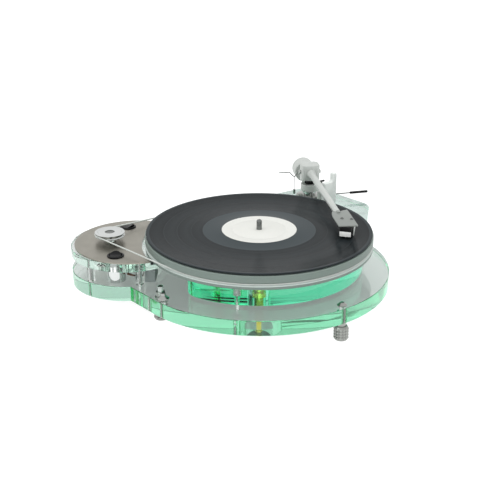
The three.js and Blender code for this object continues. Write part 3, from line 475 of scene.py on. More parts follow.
UPPER_ACRYLIC = cast_acrylic("cast acrylic, upper sheet", (0.05, 0.95, 0.68), 5.5)
LOWER_ACRYLIC = cast_acrylic("cast acrylic, lower sheet", (0.2, 0.92, 0.6), 4.0)
POD_ACRYLIC = cast_acrylic("cast acrylic, pod", (0.2, 0.85, 0.55), 2.5)

# %% [markdown]
# ### Frosted acrylic, felt, vinyl and paper
#
# The platter is sanded acrylic, so it scatters light and looks a soft grey-green. The
# record's grooves, about ten to the millimetre, are too fine to draw. Rings a third of
# a millimetre apart stand for them, which fade in and out in bands as tracks do, with
# a smooth run-out next to the label.
# Their smoother bands are also coloured paler, a painted sheen.

# %% Sanded acrylic and pressed felt
SANDED = {"roughness": (0.42, 0.58), "grain": 900.0, "bump": 0.15, "depth": 0.0002, "IOR": ACRYLIC_IOR}
FROSTED = grained("sanded acrylic, platter", "frosted_acrylic", "8B9C94", "A0AFA8", **SANDED,
                  Transmission_Weight=0.2)
# Painted highlight: the belt groove's lower slope is coloured paler than the platter, for the light it
# catches.
GROOVE_HIGHLIGHT = grained("sanded acrylic, painted highlight in the belt groove", "frosted_acrylic", "C9D6D1", "DAE4E0", **SANDED)
PALE_FROSTED = grained("sanded acrylic, rest", "clear_acrylic", "EDF3EF", "F6F9F7", **SANDED)
FELT = grained("pressed wool felt", "felt", "0D0D0F", "2A2A2E", None, 2500.0, 0.6, 0.0003, 4.0,
               Roughness=0.95)

# %% Pressed vinyl
AXIS = (axis_x, axis_y, 0)
LABEL_EDGE = 0.05
RECORD_EDGE = 0.1508
RING_PITCH = 0.00035
# From the label (0) to the rim (1): the run-out, bright with a painted sheen, quiet gaps,
# and louder and softer stretches of music. The second number says how smooth each looks,
# and so how pale its painted sheen makes it.
TRACKS_AND_SHEEN = [(0.0, 0.9), (0.25, 0.9), (0.256, 0.3), (0.31, 0.36), (0.40, 0.28), (0.405, 0.6), (0.411, 0.3),
          (0.47, 0.4), (0.585, 0.26), (0.59, 0.6), (0.596, 0.3), (0.65, 0.38), (0.76, 0.3), (0.765, 0.6),
          (0.771, 0.24), (0.86, 0.32), (0.95, 0.24), (0.96, 0.7), (1.0, 0.5)]


def pressed_vinyl():
    """Black vinyl: bands, fine rings, stretched highlights, and a painted sheen on smooth bands."""
    material, tree, shader = new_material("pressed vinyl", "vinyl", Anisotropic=0.3, Specular_IOR_Level=0.03)
    offset = own_place(tree, (1, 1, 0), AXIS)
    distance = add_node(tree, "VectorMath", {0: offset}, operation="LENGTH").outputs["Value"]
    share = add_node(tree, "MapRange", {"Value": distance, "From Min": LABEL_EDGE, "From Max": RECORD_EDGE})
    bands = add_node(tree, "ValToRGB", {"Fac": share.outputs["Result"]})
    ramp = bands.color_ramp
    while len(ramp.elements) < len(TRACKS_AND_SHEEN):
        ramp.elements.new(1.0)
    for element, (position, value) in zip(ramp.elements, TRACKS_AND_SHEEN):
        element.position = position
        element.color = (value, value, value, 1)
    smooth = bands.outputs["Color"]
    # Painted sheen: the smooth bands are coloured paler, standing in for the light they reflect.
    paint(tree, shader, smooth, "040405", "474F52")
    polish(tree, shader, smooth, 0.09, 0.05)
    # A sine of the distance from the axis gives rings. They are cut where it isn't smooth.
    rings = blend_of(tree, "SINE", blend_of(tree, "MULTIPLY", distance, 2 * math.pi / RING_PITCH), 0.0)
    cut = blend_of(tree, "SUBTRACT", 1.0, smooth)
    relief(tree, shader, blend_of(tree, "MULTIPLY", rings, cut), 0.3, 0.00006)
    # Grooves run round the axis, and stretch each highlight across their run.
    along = add_node(tree, "VectorMath", {0: offset, 1: (0, 0, 1)}, operation="CROSS_PRODUCT")
    unit = add_node(tree, "VectorMath", {0: along.outputs[0]}, operation="NORMALIZE")
    tree.links.new(unit.outputs[0], shader.inputs["Tangent"])
    return material


VINYL = pressed_vinyl()

# %% Label paper
PAPER = grained("uncoated label paper", "paper", "E4E5DF", "F0F1EC", None, 1400.0, 0.2, 0.00005, 5.0,
                Roughness=0.8)

# %% [markdown]
# ### Metals
#
# All the metals keep the default IOR and differ in colour and in how they were
# finished. Polishing leaves faint cloudiness, brushing leaves long scratches one way,
# and turning and drawing leave rings. The roughness is a range, and the stretch
# draws the noise out along the marks of the tool.

# %% Metals
SCRATCH = 0.00005


def metal(name, slot, dark, light, roughness, stretch, scale, bump):
    """A bare metal, cloudy in colour, whose finish is a noise stretched along its marks."""
    material, tree, shader = new_material(name, slot, Metallic=1.0)
    paint(tree, shader, noise(tree, 60.0, 2.0), dark, light)
    marks = noise(tree, scale, 4.0, stretch, 0.6)
    polish(tree, shader, marks, *roughness)
    relief(tree, shader, marks, bump, SCRATCH)
    return material


STEEL = "polished_steel"
EVEN = (1, 1, 1)
POLISHED = metal("polished stainless steel", STEEL, "A6A8A5", "BBBDBA", (0.06, 0.16), EVEN, 700.0, 0.1)
TURNED_STEEL = metal("turned stainless steel", STEEL, "9B9D9A", "B0B2AF", (0.14, 0.3), (1, 1, 60), 40.0, 0.25)
DARK_STEEL = metal("hardened drawn steel", STEEL, "6C6F6D", "838684", (0.15, 0.28), (1, 1, 30), 60.0, 0.2)
MACHINED = metal("knurled stainless steel", STEEL, "8A8C88", "A6A8A4", (0.1, 0.22), (1, 1, 40), 30.0, 0.1)
CHROME = metal("bright chrome plate", STEEL, "C6C9C8", "D6D9D8", (0.03, 0.08), EVEN, 500.0, 0.05)
BRUSHED = metal("brushed stainless steel", "brushed_steel", "8F8C82", "A3A096", (0.28, 0.42), (6, 90, 90),
                25.0, 0.35)
BRASS = metal("turned brass", "brass", "E6B03C", "F6CD5E", (0.08, 0.2), (1, 1, 60), 40.0, 0.25)

# %% [markdown]
# ### Plastics and rubber
#
# Switches and grips are moulded with a fine grain. The belt is ground silicone cord,
# the isolator pads are cast clear silicone, and the supply's case is grey plastic. The
# arm is aluminium under a thin satin lacquer, which hides the metal's mirror and
# leaves an even pale grey, so it has the same fine grain.

# %% Plastics and rubber
DULL = {"Specular_IOR_Level": 0.2}
LACQUER = {"roughness": (0.38, 0.48), "grain": 2200.0, "bump": 0.25, "Metallic": 0.3}
BLACK = grained("moulded black nylon", "black_plastic", "050506", "0C0C0E", (0.28, 0.4), 1800.0, 0.2, **DULL)
BLACK_SATIN = grained("anodised black aluminium", "black_plastic", "050506", "0C0C0E", (0.35, 0.5), 2500.0,
                      0.1, **DULL)
GREY = grained("moulded grey plastic", "grey_plastic", "8E9998", "A1ABA9", (0.4, 0.55), 1500.0, 0.3)
BELT = grained("ground silicone cord", "belt_rubber", "CDD3CE", "DDE2DD", (0.45, 0.6), 2500.0, 0.3)
SILICONE = grained("cast clear silicone", "silicone", "DDE8E2", "EEF5F1", (0.25, 0.4), 800.0, 0.2,
                   Transmission_Weight=0.5)
BROWN_WIRE = grained("brown wire sheath", "wire_sheath", "5A3A26", "74503A", (0.35, 0.5), 1500.0, 0.2)
BLACK_WIRE = grained("black wire sheath", "wire_sheath", "141212", "221E1C", (0.35, 0.5), 1500.0, 0.2)
WHITE_PAINT = grained("printed white band", "paper", "F6F7F5", "FDFDFC", (0.4, 0.5), 1500.0, 0.1)
SATIN = grained("satin lacquered aluminium, pale", "satin_aluminium", "C6CBC7", "D2D6D2", **LACQUER)
SATIN_GREY = grained("satin lacquered aluminium, grey", "satin_aluminium", "8A908C", "989D99", **LACQUER)

# %% [markdown]
# ## The two plinths
#
# Each plinth is an outline of arcs and corners cut from sheet. An arc is one vertex
# spun about its centre, and a rounded corner is one vertex bevelled. Clear plastic
# shows every hole, and the studs and pins in it, bent by its faces.

# %% Outlines of arcs and corners


def sheet(*chain):
    """A flat face inside a chain of corners and arcs.

    A corner is (x, y, rounding). An arc is (centre, start, degrees, steps)."""
    bm = bmesh.new()
    ends = []
    rounded = []
    for item in chain:
        if isinstance(item[0], tuple):
            ends.append(arc(bm, *item))
        else:
            x, y, rounding = item
            corner = bm.verts.new((x, y, 0))
            ends.append((corner, corner))
            if rounding:
                rounded.append((corner, rounding))
    for (_, last), (first, _) in zip(ends, ends[1:] + ends[:1]):
        bm.edges.new((last, first))
    bmesh.ops.contextual_create(bm, geom=bm.edges[:])
    for corner, rounding in rounded:
        bmesh.ops.bevel(bm, geom=[corner], offset=rounding, offset_type="OFFSET", segments=8,
                        profile=0.5, affect="VERTICES", clamp_overlap=True, material=-1)
    bmesh.ops.remove_doubles(bm, verts=bm.verts, dist=MERGE)
    return bm


def around(radius, degrees, centre=MIDDLE):
    """The point at a distance and a direction from a centre."""
    turn = math.radians(degrees)
    return centre[0] + radius * math.cos(turn), centre[1] + radius * math.sin(turn)


OVERRUN = 1.0  # a cutter starts and ends this far outside the sheet


def drill(radius, low, high, at=MIDDLE, steps=48):
    """A cylinder that cuts a hole through everything between two heights."""
    low -= OVERRUN
    high += OVERRUN
    return turned([(0, low), (radius, low), (radius, high), (0, high)], steps, at)


def holes_at(radius, low, high, places):
    """A hole of one size at each of several places."""
    return [drill(radius, low, high, place) for place in places]


# %% Where things stand
LOWER_RADIUS = 175.0
UPPER_RADIUS = 139.0
LOBE = (-175.0, 0.0)
LOBE_RADIUS = 77.0
PLATE = (-168.5, 0.0)
MOTOR = (-200.0, 0.0)
SWITCHES = {"front": (-185.5, -54.0), "rear": (-182.5, 52.0)}
FEET = {"foot_front_right": around(165, -51.6), "foot_front_left": around(146.5, -150.1),
        "foot_rear": around(165, 108)}
LOCK_STUD = around(168.5, -134.8)
SPACERS = [around(LOBE_RADIUS - 6.4, angle, LOBE) for angle in (-72.5, -128, 128, 72.5)]
ISOLATORS = [around(128, angle) for angle in (-101.8, 18.2, 138.2)]

# %% The lower plinth
# Smooth shading bends the normals of a flat face towards its bevels, and clear plastic
# then looks wavy. A crease angle this small keeps the sheets' faces flat.
FLAT = 12
# Where two faces lie on each other, a hair of air keeps clear plastic from looking black.
AIR = 0.06
BEVEL = 0.7
ON_DISC = 141.5  # degrees from the right to where disc and lobe meet, seen from the disc
ON_LOBE = 82.5  # and from the lobe
lower = sheet((MIDDLE, around(LOWER_RADIUS, -ON_DISC), 2 * ON_DISC, 200),
              (LOBE, around(LOBE_RADIUS, ON_LOBE, LOBE), 360 - 2 * ON_LOBE, 120))
thicken(lower, lower_low, lower_top, BEVEL)
lower_span = (lower_low, lower_top)
holes = [drill(20, *lower_span, steps=96), drill(2.9, *lower_span, LOCK_STUD)]
holes += holes_at(3.9, *lower_span, FEET.values()) + holes_at(2.1, *lower_span, SPACERS)
holes += holes_at(2.4, *lower_span, ISOLATORS)
dress("lower_sheet", lower, LOWER_ACRYLIC, "base", "lower_plinth",
      cutters=[together(*holes)], crease=FLAT)

# %% The upper plinth
# Its left side is cut straight, and its arm board runs tangent off the disc on the right.
CUT_X = -90.0
CORNER = 12.0
BOARD_RIGHT = (165.0, 168.7)
corner_y = math.sqrt(UPPER_RADIUS ** 2 - CUT_X ** 2)
arc_start = math.degrees(math.atan2(-corner_y, CUT_X) + CORNER / UPPER_RADIUS)
touch = math.degrees(math.atan2(BOARD_RIGHT[1], BOARD_RIGHT[0])
                     - math.acos(UPPER_RADIUS / math.hypot(*BOARD_RIGHT)))
upper = sheet((MIDDLE, around(UPPER_RADIUS, arc_start), touch - arc_start, 160),
              (*BOARD_RIGHT, CORNER), (84, 258.4, 36), (28, 220, 0),
              (CUT_X, corner_y, CORNER), (CUT_X, -corner_y, CORNER))
thicken(upper, upper_low, upper_top, BEVEL)
pocket = (above(upper_low - OVERRUN, (0, 0), (3.2, 0)) + above(upper_top, (3.2, -13), (7.3, -13))
          + above(upper_top + OVERRUN, (7.3, 0), (0, 0)))
pockets = [drill(10.05, upper_low, upper_top, steps=96)]
pockets += [turned(pocket, 48, place) for place in ISOLATORS]
dress("upper_sheet", upper, UPPER_ACRYLIC, "base", "upper_plinth",
      cutters=[together(*pockets)], crease=FLAT)

# %% [markdown]
# ## What carries the sheets
#
# A foot is a knurled stainless body with a neck. Its stud runs up through the sheet
# and ends in a cone, or at the front left flush with the sheet. The knurl is modelled:
# the band's small squares are poked, so each becomes a low pyramid, as a knurling
# wheel leaves them. The upper plinth sits on three pins inside soft clear pads.

# %% Knurled feet
NEAR = 0.01


def knurled(profile, low, high, radius, steps, rise, at):
    """Turns a section and raises a pyramid on each small square of its outer band."""
    rows = max(1, round((high - low) / (2 * math.pi * radius / steps)))
    band = [(radius, low + (high - low) * row / rows) for row in range(rows + 1)]
    section = []
    for point in profile:
        section.extend(band if point == "band" else [point])
    bm = turned(section, steps)
    squares = [face for face in bm.faces
               if all(abs(math.hypot(v.co.x, v.co.y) - radius) < NEAR for v in face.verts)
               and low - NEAR < face.calc_center_median().z < high + NEAR]
    bmesh.ops.poke(bm, faces=squares, offset=rise, center_mode="MEAN")
    bm.transform(shift(*at, 0))
    return bm


CONE = [(3.6, 46.3), (6.1, 46.3), (6.4, 46.6), (6.4, 47.2), (2.6, 50.5), (2.2, 50.6), (0, 50.6)]
FLUSH = [(3.6, 45.8), (3.4, 46), (0, 46)]
for name, place in FEET.items():
    upper_end = FLUSH if name == "foot_front_left" else CONE
    body = knurled([(0, 0), (7.4, 0), (8.2, 0.4), (8.6, 1.4), "band", (8.4, 17.6), (8, 18.4), (7.4, 19),
                    (6, 19), (6, 25.7), (3.6, 25.7)] + upper_end, 1.4, 17.2, 8.6, 15, 1.55, place)
    dress(name + "_body", body, MACHINED, name, name, crease=24)

# %% The lock stud and the isolators
lathe("lock_stud_turned", TURNED_STEEL, "base", "lock_stud", [
    (0, 26), (2.6, 26), (2.6, 46), (3.5, 46), (3.6, 46.2), (3.6, 49), (7.2, 49.9), (7.6, 50.4),
    (7.5, 50.9), (3.4, 54), (3.2, 54.3), (3.2, 57.1), (2.8, 57.5), (0, 57.5)], 64, LOCK_STUD)
for number, place in enumerate(ISOLATORS, 1):
    lathe(f"isolator_pin_{number}_turned", POLISHED, "base", f"isolator_pin_{number}", [
        (0, 30), (1.8, 30), (2.1, 30.3), (2.1, 46), (3, 46), (3, 46.7), (2.1, 46.8), (2.1, 60.4),
        (2.5, 61), (2.78, 61.8), (2.8, 62.3), (2.68, 63.1), (2.3, 63.9), (1.7, 64.5), (0.9, 64.95),
        (0, 65.1)], 32, place)
    lathe(f"isolator_pad_{number}_cast", SILICONE, "base", f"isolator_pad_{number}", [
        (0, 65.5), (2.6, 65.4), (3.2, 64.6), (3.2, 60), (6.4, 60), (7, 60.6), (7, 70.2), (6.2, 71),
        (0, 71)], 48, place)

# %% The main bearing
lathe("bearing_turned", BRASS, "base", "bearing_housing", [
    (0, 17), (3.1, 17), (3.5, 17.4), (3.5, 48), (6, 48), (6.4, 48.4), (6.4, 70), (9.75, 70),
    (9.75, upper_top + AIR), (15.7, upper_top + AIR), (16, 73.3), (16, 74.2), (15.7, 74.5), (3.85, 74.5),
    (3.85, 51.75), (0, 51.75)])
lathe("bearing_nut_milled", BRASS, "base", "bearing_nut", [
    (0, 36), (4.4, 36), (4.9, 36.4), (4.9, 41.1), (4.4, 41.5), (0, 41.5)], 6,
      cutters=[drill(3.8, 36, 41.5)])

# %% [markdown]
# ## The platter and the record
#
# All of these are turned sections. The platter has a groove for the belt. The record
# has a raised bead at its rim and a raised middle, so that stacked records do not
# touch where the music is. The light draws a thin line along the bead.

# %% The platter
GROOVE_LOW = platter_low + 5.4
GROOVE_HIGH = platter_low + 8.6
lathe("platter_disc", FROSTED, "platter", "platter",
    above(platter_low, (15.3, 0), (151.4, 0), (152, 0.6))
    + above(GROOVE_LOW, (152, -1.6), (149.6, 0.3))
    + above(GROOVE_HIGH, (149.6, 0), (151.7, 0), (152, 0.3))
    + above(platter_top, (152, -0.6), (151.4, 0), (15.3, 0)), 256)
# A paler skin on the groove's lower slope: a painted highlight.
lathe("platter_groove_highlight", GROOVE_HIGHLIGHT, "platter", "platter",
    above(GROOVE_LOW, (149.7, 0.25), (152, -1.6), (152, -1.3), (149.7, 0.55)), 256)
lathe("platter_hub_turned", TURNED_STEEL, "platter", "platter_hub",
    above(platter_low, (3.9, 0), (14.7, 0), (15, 0.3)) + above(platter_top, (15, 0), (3.9, 0)), 64)
lathe("felt_mat", FELT, "platter", "mat",
    above(platter_top, (4.05, 0), (147, 0))
    + above(mat_top, (147, -0.3), (146.6, 0), (4.05, 0)), 192)

# %% The record, its label and the spindle
lathe("pressed_record", VINYL, "platter", "record",
    above(mat_top, (3.75, 0), (150.2, 0), (150.7, 0.4), (150.8, 0.9))
    + above(record_top, (150.7, -0.4), (150.2, -0.05), (149.4, 0), (147.8, -0.04), (146.8, -0.25),
            (77, -0.25), (76, -0.2), (75, -0.2), (52.4, -0.2), (51.2, 0), (3.75, 0)),
      256, crease=60)
lathe("paper_label", PAPER, "platter", "record_label",
    above(record_top, (3.75, 0), (49.9, 0), (50, 0.1), (49.8, 0.3), (36.2, 0.3), (36, 0.18),
          (35.6, 0.18), (35.4, 0.3), (3.9, 0.3)), 128)
lathe("spindle_ground", DARK_STEEL, "platter", "spindle", [
    (0, 52), (3.2, 52), (3.6, 52.4), (3.6, 108.4), (3.3, 109.4), (2.7, 110.2), (1.8, 110.75),
    (0.9, 110.97), (0, 111)], 48)

# %% [markdown]
# ## The motor pod
#
# The cover is a thick disc with a bite taken out of it, so that it clears the platter.
# Its lower part runs on under the platter as a lip, because the bite is one stepped
# cutter. The steel plate on it has a bite of its own.

# %% The cover and its plate


def pod_holes(low, high):
    """The holes for the motor and the switches."""
    return [drill(6, low, high, MOTOR)] + [drill(10.2, low, high, place, 64) for place in SWITCHES.values()]


rim = LOBE_RADIUS - 0.6
lip_top = platter_low - 3.3
cover = turned(
    above(cover_low, (0, 0), (rim, 0), (LOBE_RADIUS, 0.6))
    + above(cover_top, (LOBE_RADIUS, -0.6), (rim, 0), (0, 0)), 160, LOBE)
bite = turned([
    (0, cover_low - OVERRUN), (142, cover_low - OVERRUN), (142, lip_top), (155, lip_top),
    (155, cover_top + OVERRUN), (0, cover_top + OVERRUN)], 256)
cover_span = (cover_low, cover_top)
cover_holes = [bite] + pod_holes(*cover_span) + holes_at(2.1, *cover_span, SPACERS)
dress("pod_cover", cover, POD_ACRYLIC, "base", "motor_cover", cutters=[together(*cover_holes)],
      crease=FLAT)

plate = turned(
    above(cover_top + AIR, (0, 0), (78.5, 0))
    + above(plate_top, (78.5, -0.3), (78.2, 0), (0, 0)), 160, PLATE)
plate_span = (cover_top, plate_top)
plate_holes = [drill(156.5, *plate_span, steps=256)] + pod_holes(*plate_span)
dress("brushed_plate", plate, BRUSHED, "base", "cover_plate", cutters=[together(*plate_holes)])

# %% Spacers and rods
for number, place in enumerate(SPACERS, 1):
    lathe(f"spacer_{number}_tube", POD_ACRYLIC, "base", f"pod_spacer_{number}",
        above(lower_top, (2.1, AIR), (5.1, AIR), (5.4, 0.4))
        + above(cover_low, (5.4, -0.4), (5.1, -AIR), (2.1, -AIR)), 48, place)
    lathe(f"rod_{number}_turned", POLISHED, "base", f"pod_rod_{number}",
        above(lower_low, (0, 0), (1.5, 0), (1.8, 0.3))
        + above(cover_top, (1.8, -0.3), (1.5, 0), (0, 0)), 24, place)

# %% The motor and its pulley
lathe("motor_can_drawn", BRUSHED, "base", "motor_can", [
    (0, 46.6), (23.6, 46.6), (24.6, 47.1), (25, 48), (25, 62.4), (24.6, 62.7), (24.6, 63.2), (25, 63.5),
    (25, 65.7), (24.8, 65.94), (2.65, 65.94), (2.65, 61.7), (0, 61.7)], 96, MOTOR)
lathe("pulley_turned", CHROME, "pulley", "pulley", [
    (2.4, 82.2), (8.5, 82.2), (8.8, 82.5), (8.8, 85.6), (18, 86.8), (19.6, 87), (20, 87.4), (20, 88),
    (19.7, 88.4), (18.3, 88.4), (18.3, 91.4), (19.7, 91.4), (20, 91.7), (20, 92.4), (19.6, 92.8),
    (16.5, 92.8), (16.2, 92.4), (15.8, 92.4), (15.5, 92.8), (6.9, 92.8), (6.6, 92.5), (6.6, 91.6),
    (2.4, 91.6)], 128, MOTOR)
lathe("pulley_centre", DARK_STEEL, "pulley", None, [
    (0, 91.62), (6.3, 91.62), (6.5, 91.7), (6.3, 91.8), (0, 91.8)], 48, MOTOR)
lathe("motor_shaft_ground", POLISHED, "pulley", "motor_shaft", [
    (0, 62), (1.8, 62), (2.1, 62.3), (2.1, 91.3), (1.8, 91.6), (0, 91.6)], 32, MOTOR)

# %% [markdown]
# ## Round cords: a path with a thickness
#
# The belt, the wires, the lift's rail and the bias rod are round cords along a path,
# which is what a curve with a bevel depth makes. Each becomes a mesh at once.

# %% A cord along a path


def cord(name, points, radius, material, body, *stands_for, closed=False, place=None, smooth=False):
    """A round cord of one radius along points, all in millimetres."""
    path = bpy.data.curves.new(name + "_path", "CURVE")
    path.dimensions = "3D"
    path.bevel_depth = radius
    path.bevel_resolution = 5
    path.use_fill_caps = not closed
    spline = path.splines.new("NURBS" if smooth else "POLY")
    spline.points.add(len(points) - 1)
    for spot, point in zip(spline.points, points):
        spot.co = (*point, 1)
    spline.use_cyclic_u = closed
    if smooth:
        spline.order_u = 4
        spline.use_endpoint_u = True
        spline.resolution_u = 10
    holder = add_object(name + "_path", path)
    view = bpy.context.evaluated_depsgraph_get()
    shape = bpy.data.meshes.new_from_object(holder.evaluated_get(view))
    bm = bmesh.new()
    bm.from_mesh(shape)
    bpy.data.meshes.remove(shape)
    bpy.data.objects.remove(holder)
    bpy.data.curves.remove(path)
    bmesh.ops.remove_doubles(bm, verts=bm.verts, dist=MERGE)
    bmesh.ops.recalc_face_normals(bm, faces=bm.faces)
    if place is not None:
        bm.transform(place)
    dress(name, bm, material, body, *stands_for, crease=60)


# %% The drive belt
# Its middle runs at these distances from the two axes, and leaves both at one angle.
BIG = 150.9
SMALL = 19.6
PULLEY_GROOVE = 89.9
lean = math.degrees(math.pi - math.acos((BIG - SMALL) / -MOTOR[0]))
wrap = [(*around(BIG, -lean + 2 * lean * step / 160), platter_low + 7) for step in range(161)]
wrap += [(*around(SMALL, lean + (360 - 2 * lean) * step / 40, MOTOR), PULLEY_GROOVE) for step in range(41)]
cord("drive_belt_cord", wrap, 1.0, BELT, "base", "drive_belt", closed=True)

# %% [markdown]
# ## Switches and supply
#
# A round rocker switch is a black bezel round a well, a chromed barrel through the
# cover and a dished paddle. The wires are three strands side by side.

# %% The round rockers
# The paddle is a disc whose top is dished and whose underside is a bow. Both curves
# follow the square of the distance from its axle.
TILT = 12
PADDLE_TURN = {"front": 90, "rear": 0}
PADDLE_RADIUS = 7.6
PADDLE_AXLE = 80.2
SUNK = 0.6  # the top's middle
DISH = 1.6  # how far its ends rise over that
BOW = 2.5
for side, place in SWITCHES.items():
    lathe(side + "_bezel", BLACK, "base", side + "_switch_body", [
        (8.8, 80), (11, 80), (11.2, 80.2), (11.2, 80.8), (10.6, 81.3), (9.9, 81.6), (9.1, 81.6),
        (8.8, 81.3), (8.8, 72), (0, 72), (0, 71), (9.5, 71), (9.5, 80)], 72, place)
    lathe(side + "_barrel", CHROME, "base", side + "_switch_body", [
        (0, 46.3), (11.6, 46.3), (12.2, 46.9), (12.2, 62.6), (11.9, 62.9), (11.9, 63.5), (12.2, 63.8),
        (12.2, 65.9), (9.9, 65.9), (9.9, 79.9), (9.6, 79.9), (9.6, 70.9), (0, 70.9)], 72, place)

    paddle = turned([
        (0, 2), (2.5, 2), (5, 2), (6.6, 2), (7.3, 2), (PADDLE_RADIUS, 1.7), (PADDLE_RADIUS, -0.8),
        (7.4, -1), (5, -2), (2.5, -2), (0, -2)], 64)
    for vert in paddle.verts:
        share = (vert.co.x / PADDLE_RADIUS) ** 2
        if vert.co.z > 1:
            vert.co.z += DISH * share - SUNK
        elif vert.co.z < -0.9:
            vert.co.z = -1 - BOW * (1 - share)
    paddle.transform(shift(*place, PADDLE_AXLE) @ rotation(PADDLE_TURN[side], "Z") @ rotation(-TILT, "Y"))
    dress(side + "_paddle_moulded", paddle, BLACK, side + "_paddle", side + "_switch_paddle")

# %% The supply box, its inlet and the wires
# The box stands on the lower sheet. Its sides are let in between two levels.
BOX_AT = (-141.0, -45.0)
BOX = (14, 32, 17.6)
PANEL = (50, 60)
INLET_Z = 55
box = cuboid(BOX, (*BOX_AT, 46 + BOX[2] / 2))
for seam in PANEL:
    bmesh.ops.bisect_plane(box, geom=box.verts[:] + box.edges[:] + box.faces[:], plane_co=(0, 0, seam),
                           plane_no=(0, 0, 1))
sides = [face for face in box.faces
         if abs(face.normal.z) < 0.5 and PANEL[0] < face.calc_center_median().z < PANEL[1]]
bmesh.ops.inset_region(box, faces=sides, thickness=0.5, depth=-0.4, use_even_offset=True)
soften(box, 0.5)
dress("supply_case", box, GREY, "base", "supply_box")
INLET = shift(BOX_AT[0], BOX_AT[1] + BOX[1] / 2, INLET_Z) @ rotation(-90, "X")
lathe("inlet_moulded", BLACK, "base", "power_inlet", [
    (0, 0), (4, 0), (4.2, 0.2), (4.2, 2.7), (3.9, 3), (2.6, 3), (2.6, 0.8), (0.6, 0.8), (0.6, 2.4),
    (0, 2.6)], 48, turn=INLET)
start = Vector((-171.4, -54, 55))
stop = Vector((-149.9, -53, 55))
middle = (start + stop) / 2 + Vector((0, -8, 0))
for number, (side, rise, skin) in enumerate(((-0.8, 0.6, BROWN_WIRE), (0.8, 0.5, BLACK_WIRE),
                                             (0.1, -0.8, BROWN_WIRE)), 1):
    beside = Vector((0, side, rise))
    swap = Vector((0, -side, rise / 2))
    strand = [start + beside, start.lerp(middle, 0.6) + beside, middle + swap,
              stop.lerp(middle, 0.6) - beside, stop + beside]
    cord(f"wire_{number}", strand, 0.75, skin, "base", "wire_loom", smooth=True)

# %% [markdown]
# ## The arm's fixed parts
#
# The arm stands on the board at the right rear: a base, a pillar, a rest and the lift.
# They are laid out from its pivot, because each has to meet the tube in its swing.

# %% Base, pillar and gland
# The base is drawn round the pivot and round the lift, with straight sides between.
PIVOT = (76.5, 208.4)
ARM_TURN = -81.16
LIFT_FROM_PIVOT = 32
LIFT_WAY = ARM_TURN + 22
LIFT_AT = around(LIFT_FROM_PIVOT, LIFT_WAY, PIVOT)
flare = math.degrees(math.acos((20 - 9) / LIFT_FROM_PIVOT))
base = sheet((PIVOT, around(20, LIFT_WAY + flare, PIVOT), 360 - 2 * flare, 64),
             (LIFT_AT, around(9, LIFT_WAY - flare, LIFT_AT), 2 * flare, 32))
thicken(base, upper_top + AIR, 75.4, 0.5)
dress("arm_base_plate", base, MACHINED, "base", "arm_base")
for number, place in enumerate((around(17, -26, PIVOT), around(17, 200, PIVOT)), 1):
    lathe(f"base_screw_{number}", POLISHED, "base", None, [
        (0, 75.3), (2.1, 75.3), (2.1, 76.2), (1.7, 76.7), (1, 76.8), (1, 76), (0, 76)], 24, place)
lathe("pillar_turned", SATIN, "base", "arm_pillar", [
    (0, 83), (12.8, 83), (13.2, 83.4), (13.2, 92.8), (12.6, 93.4), (0, 93.4)], 96, PIVOT)
lathe("pillar_foot", CHROME, "base", "arm_pillar", [
    (0, 75.4), (9.6, 75.4), (10, 75.8), (10, 83), (0, 83)], 96, PIVOT)
lathe("pillar_neck", BLACK_SATIN, "base", "arm_pillar", [
    (0, 93.4), (6.7, 93.4), (7, 93.6), (7, 98), (6.8, 98.2), (0, 98.2)], 64, PIVOT)
lathe("pillar_set_screw", POLISHED, "base", None, [
    (0, 12.6), (1.5, 12.6), (1.5, 13.7), (1.2, 14), (0.8, 14), (0.8, 13.4), (0, 13.4)], 24,
      turn=shift(*PIVOT, 84) @ rotation(-128, "Z") @ rotation(90, "Y"))
lathe("gland_moulded", BLACK, "base", "lead_gland", [
    (0, 43), (3.6, 43), (4, 43.4), (4, 49), (0, 49)], 32, PIVOT)

# %% The arm's rest
rest_way = ARM_TURN + 28
rest_at = around(45.6, rest_way, PIVOT)
NOTCH = 5.1
side_view = sheet((-11, -39, 0), (11.1, -39, 0), (11.1, 8, 1.5), (NOTCH, 8, 1.5),
                  ((0, 0), (NOTCH, 0), -90, 16), (-11, -NOTCH, 1.5))
thicken(side_view, -4, 4, 0.4)
upright = rotation(rest_way + 90, "Z") @ rotation(90, "X")
side_view.transform(shift(*rest_at, pivot_z) @ upright)
dress("rest_block", side_view, PALE_FROSTED, "base", "arm_rest")

# %% The lift
lathe("lift_post_turned", SATIN, "base", "lift_base", [
    (0, 73), (5.7, 73), (6, 73.3), (6, 89.5), (5.5, 90), (2.1, 90), (2.1, 81.2), (0, 81.2)], 64, LIFT_AT)
RAIL_Z = 105.6
lathe("lift_piston", POLISHED, "rail", "lift_rail", [
    (0, 81.5), (1.6, 81.5), (1.8, 81.7), (1.8, RAIL_Z), (0, RAIL_Z)], 24, LIFT_AT)
run = [(*around(LIFT_FROM_PIVOT, ARM_TURN - 24 + 55 * step / 24, PIVOT), RAIL_Z) for step in range(25)]
cord("lift_rail_bent", run, 1.5, BLACK_SATIN, "rail", "lift_rail")

# %% The cue lever
LEVER = shift(*LIFT_AT, 83.5) @ rotation(14.7, "Z")
LYING = rotation(90, "Y")
ACROSS = rotation(90, "X")
lathe("cue_lever_bent", DARK_STEEL, "lever", "cue_lever", [
    (0, 7.9), (0.9, 7.9), (0.9, 45.7), (0.7, 46), (0, 46)], 24, turn=LEVER @ LYING)
lathe("cue_knuckle", POLISHED, "lever", "cue_lever", [
    (0, -2.2), (1.4, -2.2), (1.6, -2), (1.6, 2), (1.4, 2.2), (0, 2.2)], 32,
      turn=LEVER @ shift(7.9, 0, 0) @ ACROSS)
lathe("cue_grip_sleeve", BLACK, "lever", "cue_grip", [
    (0, 46.15), (1.5, 46.15), (1.9, 46.6), (1.9, 73), (1.6, 73.8), (1, 74.15), (0, 74.15)], 32,
      turn=LEVER @ LYING)

